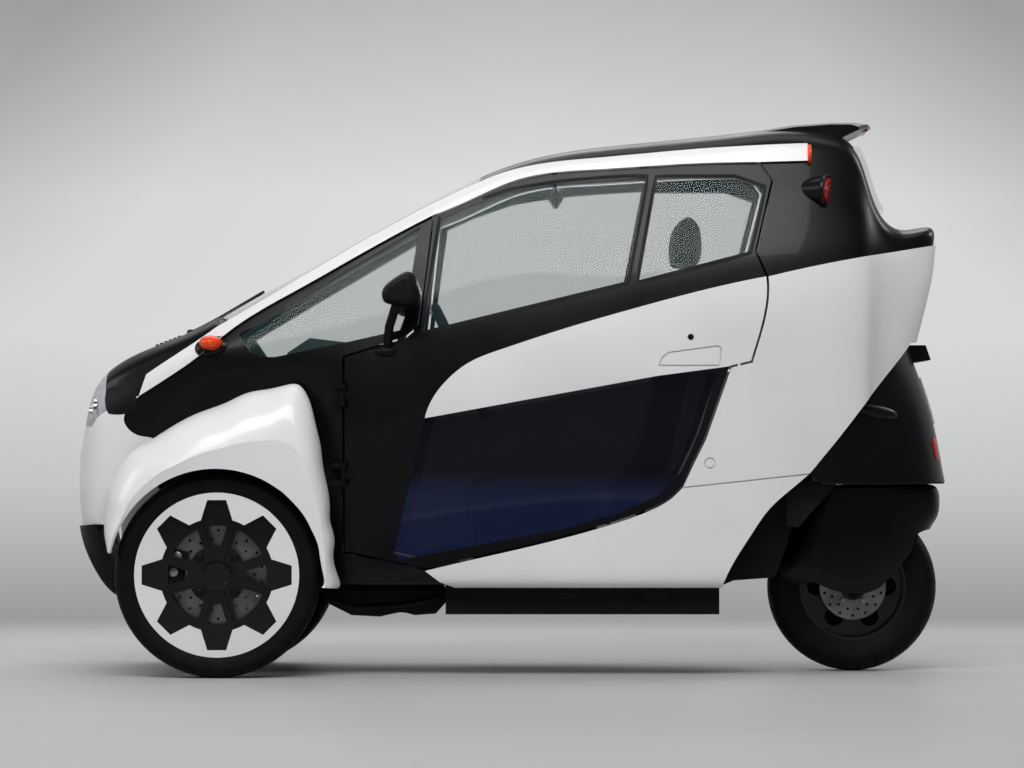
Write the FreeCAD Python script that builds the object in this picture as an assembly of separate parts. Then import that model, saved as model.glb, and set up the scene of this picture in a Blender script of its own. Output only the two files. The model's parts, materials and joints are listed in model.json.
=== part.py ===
"""Narrow three wheeled electric car: two wheels in front, one steered wheel behind, two seats in line.

The frame is +X forward, +Y to the car's left and +Z up. The origin is on the ground, halfway along the car.
Lengths are millimetres. Places along the car are shares of the wheelbase behind the front axle (0 is the front
axle, 1 the rear axle); ahead of it they are shares of the nose overhang (-1 is the nose) and behind the rear
axle shares of the tail overhang (2 is the tail). Heights are shares of the overall height, and distances from
the centre plane are shares of half the body's width.
"""

import FreeCAD
import Part

import math
import os

from FreeCAD import Vector

# Overall sizes
WHEELBASE = 1700.0
NOSE_OVERHANG = 398.0
TAIL_OVERHANG = 250.0
HEIGHT = 1493.0
BODY_WIDTH = 780.0
TRACK = 700.0

# Wheels
FRONT_TYRE_DIAMETER = 544.0
FRONT_TYRE_WIDTH = 84.0
FRONT_RIM_DIAMETER = 434.0
REAR_TYRE_DIAMETER = 460.0
REAR_TYRE_WIDTH = 124.0
REAR_RIM_DIAMETER = 290.0
RIM_WALL = 7.0
AXLE_DIAMETER = 26.0
AXLE_CLEARANCE = 0.05
DISC_DIAMETER = 262.0
DISC_THICKNESS = 5.0
REAR_DISC_DIAMETER = 180.0
HUB_DIAMETER = 92.0

# Body shell
WALL = 30.0
PANEL_PROUD = 7.0
GLASS_INSET = 5.0
GLASS_THICKNESS = 5.0
DOOR_GAP = 6.0

# Openings, arches and liners
LINER = 6.0
REAR_LINER = 26.0

# Front fenders
FENDER_THICKNESS = 8.0
FENDER_REACH = 432.0

# Derived places
FRONT_AXLE_X = (WHEELBASE + TAIL_OVERHANG - NOSE_OVERHANG) / 2
REAR_AXLE_X = FRONT_AXLE_X - WHEELBASE
FRONT_AXLE_Z = FRONT_TYRE_DIAMETER / 2
REAR_AXLE_Z = REAR_TYRE_DIAMETER / 2
HALF_BODY = BODY_WIDTH / 2
HALF_TRACK = TRACK / 2

UP = Vector(0, 0, 1)
LEFT = Vector(0, 1, 0)
FORWARD = Vector(1, 0, 0)


def along(share):
    """X of a place along the car."""
    if share < 0:
        return FRONT_AXLE_X - share * NOSE_OVERHANG
    if share > 1:
        return REAR_AXLE_X - (share - 1) * TAIL_OVERHANG
    return FRONT_AXLE_X - share * WHEELBASE


def side_point(place):
    """A point of the side view, on the centre plane, from its two shares."""
    return Vector(along(place[0]), 0, place[1] * HEIGHT)


def joined(runs):
    """A closed wire from runs of points, each run "line" or "curve" and starting where the last one ended."""
    edges = []
    here = runs[-1][1][-1]
    for kind, points in runs:
        points = [here] + points
        if kind == "line":
            edges += [Part.makeLine(a, b) for a, b in zip(points, points[1:])]
        else:
            curve = Part.BSplineCurve()
            curve.interpolate(points)
            edges.append(curve.toShape())
        here = points[-1]
    return Part.Wire(edges)


def side_runs(runs):
    return [(kind, [side_point(p) for p in places]) for kind, places in runs]


def side_wire(*runs):
    """A closed wire in the side view. Each run is "line" or "curve" and the shares of its points, and starts
    where the last run ended. The first run starts where the last one ends."""
    return joined(side_runs(runs))


def inset_wire(distance, *runs):
    """The same wire with each of its points moved inwards by distance."""
    runs = side_runs(runs)
    points = [p for kind, group in runs for p in group]
    count = len(points)
    area = sum(points[i - 1].z * points[i].x - points[i].z * points[i - 1].x for i in range(count))
    turn = math.copysign(1, area)
    moved = []
    for i in range(count):
        before = (points[i] - points[i - 1]).normalize()
        after = (points[(i + 1) % count] - points[i]).normalize()
        inwards = (before + after).cross(LEFT) * -turn
        moved.append(points[i] + inwards * (distance / (1 + before.dot(after))))
    shifted = []
    for kind, group in runs:
        shifted.append((kind, moved[:len(group)]))
        moved = moved[len(group):]
    return joined(shifted)


def prism(wire, near, far):
    """The side outline drawn out from y = near to y = far."""
    face = Part.Face(wire)
    face.translate(Vector(0, near, 0))
    return face.extrude(Vector(0, far - near, 0))


def mirrored(shape):
    return shape.mirror(Vector(0, 0, 0), LEFT)


def both(shape):
    """The left piece and its mirror image, as two solids of one node."""
    return Part.makeCompound([shape, mirrored(shape)])


def box(x0, x1, y0, y1, z0, z1):
    low = Vector(min(x0, x1), min(y0, y1), min(z0, z1))
    return Part.makeBox(abs(x1 - x0), abs(y1 - y0), abs(z1 - z0), low)


def rod(start, end, diameter):
    return Part.makeCylinder(diameter / 2, (end - start).Length, start, end - start)


# The body's cross sections, from the nose to the tail.
# along; heights of floor, crease, belt, rail and top; half widths at floor, waist, crease, belt and rail;
# how far the section leans forward on its way down.
HULL_SHARES = [
    (-1.000, 0.300, 0.335, 0.352, 0.368, 0.382, 0.13, 0.15, 0.16, 0.15, 0.13, 0.0),
    (-0.968, 0.258, 0.335, 0.380, 0.415, 0.440, 0.30, 0.34, 0.37, 0.35, 0.30, 0.0),
    (-0.915, 0.222, 0.338, 0.420, 0.468, 0.499, 0.41, 0.47, 0.50, 0.48, 0.42, 0.0),
    (-0.840, 0.184, 0.342, 0.449, 0.503, 0.534, 0.45, 0.54, 0.58, 0.57, 0.51, 0.0),
    (-0.714, 0.147, 0.348, 0.472, 0.522, 0.563, 0.48, 0.57, 0.63, 0.64, 0.57, 0.0),
    (-0.462, 0.150, 0.362, 0.514, 0.561, 0.594, 0.48, 0.58, 0.66, 0.68, 0.61, 0.0),
    (-0.211, 0.156, 0.375, 0.559, 0.594, 0.621, 0.49, 0.60, 0.68, 0.72, 0.64, 0.0),
    (0.045, 0.163, 0.395, 0.569, 0.648, 0.677, 0.54, 0.63, 0.71, 0.79, 0.67, 0.0),
    (0.155, 0.163, 0.430, 0.571, 0.718, 0.743, 0.73, 0.74, 0.80, 0.86, 0.69, 0.0),
    (0.192, 0.163, 0.442, 0.571, 0.741, 0.767, 0.84, 0.84, 0.88, 0.885, 0.70, 0.0),
    (0.339, 0.163, 0.522, 0.619, 0.832, 0.859, 0.905, 0.885, 0.96, 0.925, 0.705, 0.0),
    (0.456, 0.163, 0.563, 0.653, 0.891, 0.919, 0.915, 0.885, 0.985, 0.94, 0.705, 0.0),
    (0.633, 0.163, 0.606, 0.701, 0.918, 0.956, 0.92, 0.89, 1.0, 0.95, 0.705, 0.0),
    (0.809, 0.163, 0.646, 0.749, 0.932, 0.977, 0.91, 0.90, 1.0, 0.945, 0.69, 0.0),
    (0.956, 0.163, 0.670, 0.770, 0.934, 0.979, 0.86, 0.87, 0.945, 0.885, 0.655, 0.0),
    (0.998, 0.163, 0.676, 0.770, 0.904, 0.950, 0.82, 0.84, 0.90, 0.845, 0.64, 0.0),
    (1.190, 0.163, 0.683, 0.757, 0.817, 0.854, 0.74, 0.77, 0.82, 0.78, 0.67, 0.05),
    (1.500, 0.163, 0.676, 0.737, 0.777, 0.802, 0.64, 0.67, 0.72, 0.69, 0.65, 0.15),
    (1.750, 0.163, 0.663, 0.703, 0.730, 0.750, 0.42, 0.45, 0.49, 0.47, 0.43, 0.27),
]


def hull_section(row, inset, squeeze):
    """One closed cross section, moved inwards by inset."""
    where, floor, crease, belt, rail, top, w_floor, w_waist, w_crease, w_belt, w_rail, lean = row
    low, high = floor * HEIGHT, top * HEIGHT
    low_in, high_in = low + inset, high - inset

    def level(share):
        return low_in + (share * HEIGHT - low) * (high_in - low_in) / (high - low)

    def wide(share):
        return share * HALF_BODY - inset

    def mix(a, b, t):
        return a + (b - a) * t

    poles = [
        (wide(w_floor) * 0.9, low_in),
        (wide(w_floor), low_in),
        (wide(w_floor), level(mix(floor, crease, 0.1))),
        (wide(w_waist), level(mix(floor, crease, 0.4))),
        (mix(wide(w_waist), wide(w_crease), 0.75), level(mix(floor, crease, 0.75))),
        (wide(w_crease), level(mix(floor, crease, 0.97))),
        (mix(wide(w_crease), wide(w_belt), 0.35), level(mix(crease, belt, 0.45))),
        (wide(w_belt), level(belt)),
        (mix(wide(w_belt), wide(w_rail), 0.5), level(mix(belt, rail, 0.5))),
        (mix(wide(w_belt), wide(w_rail), 0.94), level(mix(belt, rail, 0.9))),
        (wide(w_rail) * 0.96, level(mix(rail, top, 0.45))),
        (wide(w_rail) * 0.72, level(mix(rail, top, 0.9))),
        (wide(w_rail) * 0.36, high_in),
    ]
    x = along(where) * squeeze
    right = [Vector(x + lean * (high_in - z), y, z) for y, z in poles]
    ring = right + [Vector(x, 0, high_in)] + [Vector(v.x, -v.y, v.z) for v in reversed(right)]
    curve = Part.BSplineCurve()
    curve.buildFromPoles(ring, False, 3)
    return Part.Wire([curve.toShape(), Part.makeLine(ring[-1], ring[0])])


HULLS = {}


def hull(inset=0.0):
    """The whole body as one solid, its surface moved inwards by inset."""
    if inset not in HULLS:
        squeeze = 1 - inset / along(HULL_SHARES[0][0])
        sections = [hull_section(row, inset, squeeze) for row in HULL_SHARES]
        HULLS[inset] = Part.makeLoft(sections, True, False)
    return HULLS[inset]


def region(*runs):
    """The left half of a side outline, wide enough to cut right through the body."""
    return prism(side_wire(*runs), 0, BODY_WIDTH)


def whole_region(*runs):
    return prism(side_wire(*runs), -BODY_WIDTH, BODY_WIDTH)


def block(shares):
    """A box from six shares: two along the car, two of half the body's width, two of the height."""
    x0, x1, y0, y1, z0, z1 = shares
    return box(along(x0), along(x1), y0 * HALF_BODY, y1 * HALF_BODY, z0 * HEIGHT, z1 * HEIGHT)


def place(shares):
    """A point from three shares: along the car, of half the body's width, of the height."""
    return Vector(along(shares[0]), shares[1] * HALF_BODY, shares[2] * HEIGHT)


def skin(cutter, proud=0.0, depth=WALL):
    """The piece of the body's wall that lies inside the cutter."""
    return hull(-proud).common(cutter).cut(hull(depth))


def pane(cutter):
    """A window pane let into the wall inside the cutter."""
    return hull(GLASS_INSET).common(cutter).cut(hull(GLASS_INSET + GLASS_THICKNESS))


def largest(shape):
    """The biggest solid of a shape, without the slivers that a cut left."""
    return max(shape.Solids, key=lambda solid: solid.Volume)


def back(places):
    """The same line, the other way round, without its last point."""
    return list(reversed(places))[1:]


# Seams of the body in the side view, each a list of shares along the car and of the height.
STRIP_LOW_SHARES = [
    (-0.5503, 0.499), (-0.402, 0.5238), (-0.103, 0.5787), (0.0118, 0.6129), (0.1247, 0.6912),
    (0.2812, 0.791), (0.3312, 0.8205),
]
DOOR_TOP_SHARES = [
    (0.3312, 0.8205), (0.4059, 0.8567), (0.4559, 0.8814), (0.5935, 0.9029), (0.75, 0.9136),
    (0.8447, 0.9156),
]
RAIL_LOW_SHARES = [
    (0.8447, 0.9156), (0.9188, 0.9183),
]
STRIP_UP_SHARES = [
    (-0.5025, 0.5378), (-0.402, 0.5559), (-0.1357, 0.6021), (-0.0352, 0.6216),
]
PILLAR_UP_SHARES = [
    (-0.0352, 0.6216), (0.1247, 0.7106), (0.2812, 0.8125), (0.4059, 0.8814),
]
RAIL_UP_SHARES = [
    (0.4059, 0.8814), (0.4529, 0.9015), (0.5935, 0.9243), (0.75, 0.9404), (0.8906, 0.9491),
    (0.9188, 0.9504),
]
DOOR_FRONT_SHARES = [
    (0.1929, 0.2204), (0.1929, 0.5687), (0.2906, 0.6042), (0.3106, 0.6236), (0.3312, 0.8205),
]
DOOR_REAR_UP_SHARES = [
    (0.8447, 0.9156), (0.8647, 0.8835), (0.8371, 0.7542), (0.8541, 0.7086),
]
DOOR_REAR_SHARES = [
    (0.8541, 0.7086), (0.8541, 0.6678), (0.8447, 0.6149), (0.8294, 0.5566),
]
DOOR_CURL_SHARES = [
    (0.8294, 0.5566), (0.7965, 0.5479), (0.7576, 0.4206), (0.7406, 0.3818), (0.7224, 0.3376),
]
DOOR_LOW_SHARES = [
    (0.7224, 0.3376), (0.6941, 0.3088), (0.6553, 0.288), (0.5935, 0.2646), (0.4612, 0.2257),
    (0.3218, 0.1889),
]
DOOR_TOE_SHARES = [
    (0.3218, 0.1889), (0.2641, 0.205), (0.1929, 0.2204),
]
SILL_FRONT_SHARES = [
    (0.3218, 0.1889), (0.3447, 0.1688), (0.3682, 0.1587), (0.3741, 0.134),
]
SILL_REAR_SHARES = [
    (0.7224, 0.3376), (0.9194, 0.3617),
]
ARCH_SHARES = [
    (0.9194, 0.3617), (0.8888, 0.3322), (0.8576, 0.3001), (0.8265, 0.2505), (0.8029, 0.2083),
    (0.7829, 0.1601), (0.7771, 0.134),
]
REAR_TOP_SHARES = [
    (0.8541, 0.7086), (0.9659, 0.7368), (1.632, 0.7636), (2.104, 0.7783),
]
REAR_LOW_SHARES = [
    (0.9194, 0.3617), (0.9659, 0.426), (1.084, 0.4943), (1.456, 0.5707), (1.564, 0.5954),
]
REAR_END_SHARES = [
    (2.104, 0.7783), (2.104, 0.5954), (1.564, 0.5954),
]
NOSE_SIDE_SHARES = [
    (-0.5503, 0.499), (-0.6332, 0.4742), (-0.6533, 0.4561), (-0.6131, 0.438), (-0.5327, 0.4273),
    (-0.4598, 0.424), (-0.3869, 0.3751), (-0.3744, 0.2679), (-0.3869, 0.134),
]
HOOD_EDGE_SHARES = [
    (-0.5025, 0.5378), (-0.5503, 0.499), (-0.6231, 0.4963), (-0.7085, 0.4856), (-0.7789, 0.4729),
    (-0.7889, 0.5164), (-0.794, 1.0717),
]
LIP_SHARES = [
    (-1.0402, 0.2646), (-0.8568, 0.2699), (-0.8367, 0.2592), (-0.809, 0.223), (-0.7613, 0.2016),
    (-0.7085, 0.1875), (-0.7085, 0.134),
]
TOP_SHARES = [
    (-1.0653, 1.0717), (-0.0352, 1.0717), (0.4059, 1.0717), (0.9188, 1.0717), (2.104, 1.0717),
]
CHIN_SHARES = [(-0.6759, 0.134), (-0.6759, 0.2679)]
LAMP_SHARES = [
    (-0.7789, 0.4729), (-0.8442, 0.4608), (-0.8844, 0.4447), (-1.0402, 0.4447), (-1.0402, 0.5827),
    (-0.794, 0.5827), (-0.7889, 0.5164),
]

# Window outlines
FRONT_PANE_SHARES = [
    (0.3459, 0.8158), (0.3912, 0.8392), (0.4535, 0.864), (0.5312, 0.8781), (0.5935, 0.8841),
    (0.6653, 0.8888), (0.6341, 0.7006), (0.3194, 0.6135),
]
REAR_PANE_SHARES = [
    (0.6835, 0.8868), (0.8035, 0.8868), (0.8488, 0.8694), (0.8241, 0.7535), (0.6541, 0.7026),
]
QUARTER_SHARES = [
    (0.0294, 0.6088), (0.1259, 0.6745), (0.3129, 0.8004), (0.31, 0.7897), (0.2865, 0.6155),
    (0.1882, 0.5908), (0.0871, 0.568), (0.0665, 0.568), (0.0476, 0.5767),
]
DOOR_PANEL_TOP_SHARES = [
    (0.3218, 0.4588), (0.33, 0.4856), (0.3529, 0.5224), (0.3918, 0.5579), (0.4382, 0.5794),
    (0.5312, 0.6142), (0.6553, 0.6551), (0.7482, 0.6832), (0.8535, 0.7093),
]
DOOR_PANEL_LOW_SHARES = [
    (0.8682, 0.564), (0.7965, 0.5506), (0.6812, 0.5332), (0.3218, 0.4588),
]
LOWER_PANE_SHARES = [
    (0.7771, 0.5472), (0.7482, 0.438), (0.7218, 0.367), (0.6865, 0.3235), (0.6241, 0.2914),
    (0.5312, 0.2612), (0.2829, 0.2083), (0.2724, 0.2224), (0.2906, 0.3141), (0.3218, 0.4588),
]

NODES = {}

# Doors: the frame, its white panel, its panes and the mirror on it
door_edge = (
    ("curve", DOOR_TOP_SHARES[1:]),
    ("line", DOOR_REAR_UP_SHARES[1:]),
    ("curve", DOOR_REAR_SHARES[1:]),
    ("line", DOOR_CURL_SHARES[1:]),
    ("curve", DOOR_LOW_SHARES[1:]),
    ("line", DOOR_TOE_SHARES[1:]),
    ("line", DOOR_FRONT_SHARES[1:]),
)
door_cut = prism(inset_wire(DOOR_GAP, *door_edge), 0, BODY_WIDTH)
panel_cut = region(
    ("curve", DOOR_PANEL_TOP_SHARES[1:]),
    ("line", [(DOOR_PANEL_LOW_SHARES[0][0], DOOR_PANEL_TOP_SHARES[-1][1]), DOOR_PANEL_LOW_SHARES[0]]),
    ("line", DOOR_PANEL_LOW_SHARES[1:]),
)
front_pane_cut = region(("line", FRONT_PANE_SHARES))
rear_pane_cut = region(("line", REAR_PANE_SHARES))
lower_pane_cut = region(
    ("line", [DOOR_PANEL_LOW_SHARES[2], LOWER_PANE_SHARES[0]]),
    ("line", LOWER_PANE_SHARES[1:]),
)
panel = skin(door_cut.common(panel_cut), PANEL_PROUD)
frame = skin(door_cut)
for cutter in (panel_cut, front_pane_cut, rear_pane_cut, lower_pane_cut):
    frame = frame.cut(cutter)
panes = [pane(cutter) for cutter in (front_pane_cut, rear_pane_cut)]
lower_pane = pane(lower_pane_cut.cut(panel_cut).common(door_cut))

# Handle flap and keyhole of the door, as fine grooves in its panel
GROOVE = 3.5
GROOVE_DEPTH = 5.0
KEYHOLE_DIAMETER = 18.0
HANDLE_SHARES = [
    (0.6829, 0.5506), (0.6888, 0.5666), (0.6982, 0.5754), (0.7753, 0.5874), (0.7818, 0.582),
    (0.7788, 0.5506),
]
KEYHOLE_SHARES = (0.7335, 0.0, 0.6015)


def groove(wire, inner):
    """The room of a groove in a proud panel, between two outlines."""
    room = prism(wire, 0, BODY_WIDTH)
    if inner:
        room = room.cut(prism(inner, 0, BODY_WIDTH))
    return room.cut(hull(GROOVE_DEPTH - PANEL_PROUD))


handle_run = ("line", HANDLE_SHARES)
panel = panel.cut(groove(side_wire(handle_run), inset_wire(GROOVE, handle_run)))
keyhole = rod(place(KEYHOLE_SHARES), place(KEYHOLE_SHARES) + LEFT * BODY_WIDTH, KEYHOLE_DIAMETER)
panel = panel.cut(keyhole.cut(hull(GROOVE_DEPTH - PANEL_PROUD)))

# Hinges of the door: a pin between two lugs on the body, and a knuckle on the door
HINGE_DIAMETER = 14.0
HINGE_PIN = 7.0
HINGE_LENGTH = 60.0
KNUCKLE_LENGTH = 22.0
HINGE_LEAF = 30.0
HINGE_ROOT = 24.0
HINGE_LIFT_SHARES = (0.36, 0.50)
MOVING_GAP = 5.5


def surface_y(x, height):
    """Distance of the body's side from the centre plane."""
    ray = Part.makeLine(Vector(x, 0, height), Vector(x, BODY_WIDTH, height))
    return hull().common(ray).BoundBox.YMax


hinge_x = along(DOOR_FRONT_SHARES[0][0]) - DOOR_GAP / 2
hinge_y = max(surface_y(hinge_x, share * HEIGHT) for share in HINGE_LIFT_SHARES) + HINGE_DIAMETER / 2


def hinge_parts(height):
    """The fixed part, the moving part and the room each needs in the other."""
    axis = Vector(hinge_x, hinge_y, height)
    half = UP * (HINGE_LENGTH / 2)
    inner = UP * (KNUCKLE_LENGTH / 2)
    gap = UP * MOVING_GAP
    reach = HINGE_DIAMETER / 2
    root_y = surface_y(hinge_x, height) - HINGE_ROOT
    fixed = rod(axis - half, axis + half, HINGE_PIN)
    room = rod(axis - half - gap, axis + half + gap, HINGE_DIAMETER + 2 * MOVING_GAP)
    for low, high in ((axis - half, axis - inner - gap), (axis + inner + gap, axis + half)):
        lug = rod(low, high, HINGE_DIAMETER)
        strap = box(axis.x, axis.x + HINGE_LEAF, axis.y - reach, axis.y, low.z, high.z)
        root = box(axis.x + HINGE_LEAF / 2, axis.x + HINGE_LEAF, root_y, axis.y, low.z, high.z)
        fixed = fixed.fuse([lug, strap, root])
    knuckle = rod(axis - inner, axis + inner, HINGE_DIAMETER)
    strap = box(axis.x - HINGE_LEAF, axis.x, axis.y - reach, axis.y, axis.z - inner.z, axis.z + inner.z)
    root = box(axis.x - HINGE_LEAF, axis.x - HINGE_LEAF / 2, root_y, axis.y, axis.z - inner.z, axis.z + inner.z)
    bore = rod(axis - half, axis + half, HINGE_PIN + 2 * AXLE_CLEARANCE)
    return fixed, knuckle.fuse([strap, root]).cut(bore), room


hinge_fixed = []
for share in HINGE_LIFT_SHARES:
    fixed, moving, room = hinge_parts(share * HEIGHT)
    frame = frame.cut(room).fuse(moving)
    hinge_fixed.append((fixed, room))

# The mirror stands on the door's belt
MIRROR_STALK = 24.0
MIRROR_STALK_SHARES = [
    (0.2624, 0.87, 0.5767), (0.2671, 0.99, 0.6196), (0.28, 1.07, 0.6631),
]
MIRROR_FOOT = (76.0, 60.0, 36.0)
MIRROR_HEAD_SHARES = [
    (0.2588, 0.6658), (0.2588, 0.6832), (0.2771, 0.704), (0.3, 0.7147), (0.3141, 0.6919),
    (0.3159, 0.6658), (0.2971, 0.653), (0.2694, 0.6584),
]
MIRROR_WIDTH = 124.0
MIRROR_MIDDLE_SHARE = 1.1026
MIRROR_ROUND_SHARES = ((-1.0, 0.5), (-0.93, 0.76), (-0.7, 0.93), (0.0, 1.0), (0.7, 0.93), (0.93, 0.76), (1.0, 0.5))
EGG_STEPS = 8
EGG_END = 0.06


def egg(centre, dx, dy, dz):
    """A rounded body of the given overall sizes, lofted through ellipses along the car."""
    sections = []
    for step in range(EGG_STEPS + 1):
        turn = math.pi * (EGG_END + (1 - 2 * EGG_END) * step / EGG_STEPS)
        wide, tall = dy * math.sin(turn), dz * math.sin(turn)
        ring = Part.makeCircle(1, Vector(0, 0, 0), FORWARD).toNurbs()
        grow = FreeCAD.Matrix()
        grow.scale(Vector(1, wide / 2, tall / 2))
        ring = ring.transformGeometry(grow)
        ring.translate(centre + FORWARD * (dx / 2 * math.cos(turn)))
        sections.append(Part.Wire(ring.Edges))
    return Part.makeLoft(sections, True, False)


def pillow(shares, middle_y, width, rounds):
    """A side outline as a rounded body: sections across the car, each smaller towards the two ends."""
    points = [side_point(p) for p in shares]
    middle = Vector(0, 0, 0)
    for p in points:
        middle += p * (1 / len(points))
    sections = []
    for step, size in rounds:
        ring = [middle + (p - middle) * size + LEFT * (middle_y + step * width / 2) for p in points]
        curve = Part.BSplineCurve()
        curve.interpolate(ring, PeriodicFlag=True)
        sections.append(Part.Wire(curve.toShape()))
    return Part.makeLoft(sections, True, False)


stalk_points = [place(p) for p in MIRROR_STALK_SHARES]
mirror = egg(stalk_points[0], *MIRROR_FOOT)
for a, b in zip(stalk_points, stalk_points[1:]):
    mirror = mirror.fuse([rod(a, b, MIRROR_STALK), Part.makeSphere(MIRROR_STALK / 2, b)])
mirror_head = pillow(MIRROR_HEAD_SHARES, MIRROR_MIDDLE_SHARE * HALF_BODY, MIRROR_WIDTH, MIRROR_ROUND_SHARES)
mirror = largest(mirror.fuse(mirror_head).cut(hull()))

for side, turn in (("left", lambda s: s), ("right", mirrored)):
    NODES["door_" + side + "_frame"] = turn(frame)
    NODES["door_" + side + "_panel"] = turn(panel)
    NODES["door_" + side + "_glass"] = turn(Part.makeCompound(panes))
    NODES["door_" + side + "_lower_glass"] = turn(lower_pane)
    NODES["door_" + side + "_mirror"] = turn(mirror)

# Floor, front subframe and the wheel house behind
FLOOR_SHARES = (0.7624, 0.08, -0.7692, 0.7692, 0.134, 0.1942)
SUBFRAME_SHARES = (0.08, -0.3417, -1.0256, 1.0256, 0.134, 0.3215)
SUBFRAME_ROOM_SHARES = (0.0653, -0.2789, -1.0256, 1.0256, 0.1541, 0.4019)
SUBFRAME_WALL = 45.0
HOUSE_BACK_SHARES = [
    (0.9194, 0.3617), (0.9388, 0.3456), (2.104, 0.3446), (2.104, 0.6028), (0.6918, 0.6028), (0.6918, 0.134),
    (0.7771, 0.134),
]
SILL_RAIL_SHARES = (0.78, 0.3524, 0.6154, 0.759, 0.1105, 0.1755)

floor_box = block(FLOOR_SHARES)
subframe_box = block(SUBFRAME_SHARES)
above_arch = whole_region(("line", HOUSE_BACK_SHARES[1:]), ("curve", back(ARCH_SHARES)))
lifted = above_arch.copy()
lifted.translate(Vector(REAR_LINER, 0, REAR_LINER))
house_band = above_arch.cut(lifted)

# Rear lower cover: plan sections from its foot to its top
COVER_SHARES = [
    (0.3446, 2.004), (0.4213, 1.916), (0.4943, 1.804), (0.5586, 1.664), (0.6028, 1.568),
]
COVER_PLAN_SHARES = ((0.0, 0.93), (0.35, 0.90), (0.62, 0.74), (0.86, 0.56), (0.985, 0.36), (1.0, 0.12))
COVER_FRONT_SHARE = 0.885
COVER_WALL = 12.0


def cover_solid(inset):
    sections = []
    front = along(COVER_FRONT_SHARE)
    for height, rear in COVER_SHARES:
        depth = along(rear) + inset - front
        half = [Vector(front + depth * t, w * HALF_BODY - inset, height * HEIGHT) for t, w in COVER_PLAN_SHARES]
        ring = half + [Vector(v.x, -v.y, v.z) for v in reversed(half)]
        curve = Part.BSplineCurve()
        curve.buildFromPoles(ring, False, 3)
        sections.append(Part.Wire([curve.toShape(), Part.makeLine(ring[-1], ring[0])]))
    return Part.makeLoft(sections, True, False)


cover_inner = cover_solid(COVER_WALL)
under_seam = whole_region(
    ("line", REAR_LOW_SHARES[1:]),
    ("line", [REAR_END_SHARES[1], HOUSE_BACK_SHARES[2], HOUSE_BACK_SHARES[1], REAR_LOW_SHARES[0]]),
)
PLATE_LAMP_SHARES = [
    (1.504, 0.5934), (1.78, 0.5934), (1.836, 0.5666), (1.64, 0.5613), (1.504, 0.5613),
]
PLATE_LAMP_WIDTH = 170.0
plate_lamp = prism(side_wire(("line", PLATE_LAMP_SHARES)), -PLATE_LAMP_WIDTH / 2, PLATE_LAMP_WIDTH / 2)
cover = cover_solid(0).cut(cover_inner).common(under_seam).fuse(plate_lamp.cut(cover_inner))
behind_start, behind_end = REAR_LOW_SHARES[0][0], HOUSE_BACK_SHARES[2][0]
behind = whole_region(("line", [(behind_end, 0), (behind_end, 1), (behind_start, 1), (behind_start, 0)]))
house = house_band.common(hull(WALL)).cut(behind)
house_tail = house_band.common(cover_inner).common(behind)

# Steering head in the wheel house, for the rear wheel's kingpin
KINGPIN_DIAMETER = 40.0
HEAD_DIAMETER = 96.0
HEAD_FOOT_SHARE = 0.358
HEAD_TOP_SHARE = 0.42
head_foot = Vector(REAR_AXLE_X, 0, HEAD_FOOT_SHARE * HEIGHT)
head_top = Vector(REAR_AXLE_X, 0, HEAD_TOP_SHARE * HEIGHT)
head_bore = rod(Vector(REAR_AXLE_X, 0, 0), head_top, KINGPIN_DIAMETER + 2 * AXLE_CLEARANCE)
steering_head = rod(head_foot, head_top, HEAD_DIAMETER)

# Cheeks of the wheel house, which close the sides in front of the cowl
CHEEK_SHARES = [
    (0.7759, 0.1608), (0.7959, 0.2123), (0.8194, 0.2545), (0.8506, 0.3041), (0.8818, 0.3362),
    (0.9124, 0.3657), (0.9271, 0.3657), (0.9271, 0.3456), (0.9188, 0.3369), (0.9059, 0.3115),
    (0.8876, 0.2324), (0.8688, 0.1748), (0.8041, 0.1695), (0.7871, 0.1614),
]
CHEEK_THICKNESS = 12.0
CHEEK_WIDE_SHARE = 0.585
cheek_y = CHEEK_WIDE_SHARE * HALF_BODY
cheek = prism(side_wire(("line", CHEEK_SHARES)), cheek_y, cheek_y + CHEEK_THICKNESS)

rails = both(block(SILL_RAIL_SHARES))
floor = hull().common(floor_box).cut(house_band)
NODES["floor_pan"] = floor.fuse(rails.Solids)
subframe = hull().common(subframe_box).cut(hull(SUBFRAME_WALL).common(block(SUBFRAME_ROOM_SHARES)))
NODES["front_subframe"] = subframe

# Fixed body panels
side_cut = region(
    ("curve", STRIP_LOW_SHARES[1:]),
    ("line", back(DOOR_FRONT_SHARES)),
    ("line", back(DOOR_TOE_SHARES)),
    ("line", SILL_FRONT_SHARES[1:]),
    ("line", [NOSE_SIDE_SHARES[-1]]),
    ("curve", back(NOSE_SIDE_SHARES)),
)
quarter_cut = region(("line", QUARTER_SHARES))
side_panel = skin(side_cut).cut(floor_box).cut(subframe_box).cut(quarter_cut)
for fixed, room in hinge_fixed:
    side_panel = side_panel.cut(room).fuse(fixed)
side_panel = largest(side_panel)
NODES["front_side_panels"] = both(side_panel)
NODES["quarter_windows"] = both(pane(quarter_cut))

sill_cut = region(
    ("line", SILL_REAR_SHARES[1:]),
    ("curve", ARCH_SHARES[1:]),
    ("line", [SILL_FRONT_SHARES[-1]]),
    ("line", back(SILL_FRONT_SHARES)),
    ("curve", back(DOOR_LOW_SHARES)),
)
seam_front, seam_rear = [side_point(p) for p in SILL_REAR_SHARES]
seam_drop = UP * GROOVE
seam_ring = [seam_front, seam_rear, seam_rear - seam_drop, seam_front - seam_drop, seam_front]
seam_room = groove(Part.makePolygon(seam_ring), None)
NODES["sill_panels"] = both(skin(sill_cut, PANEL_PROUD).cut(floor_box).cut(rails).cut(seam_room))

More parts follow.
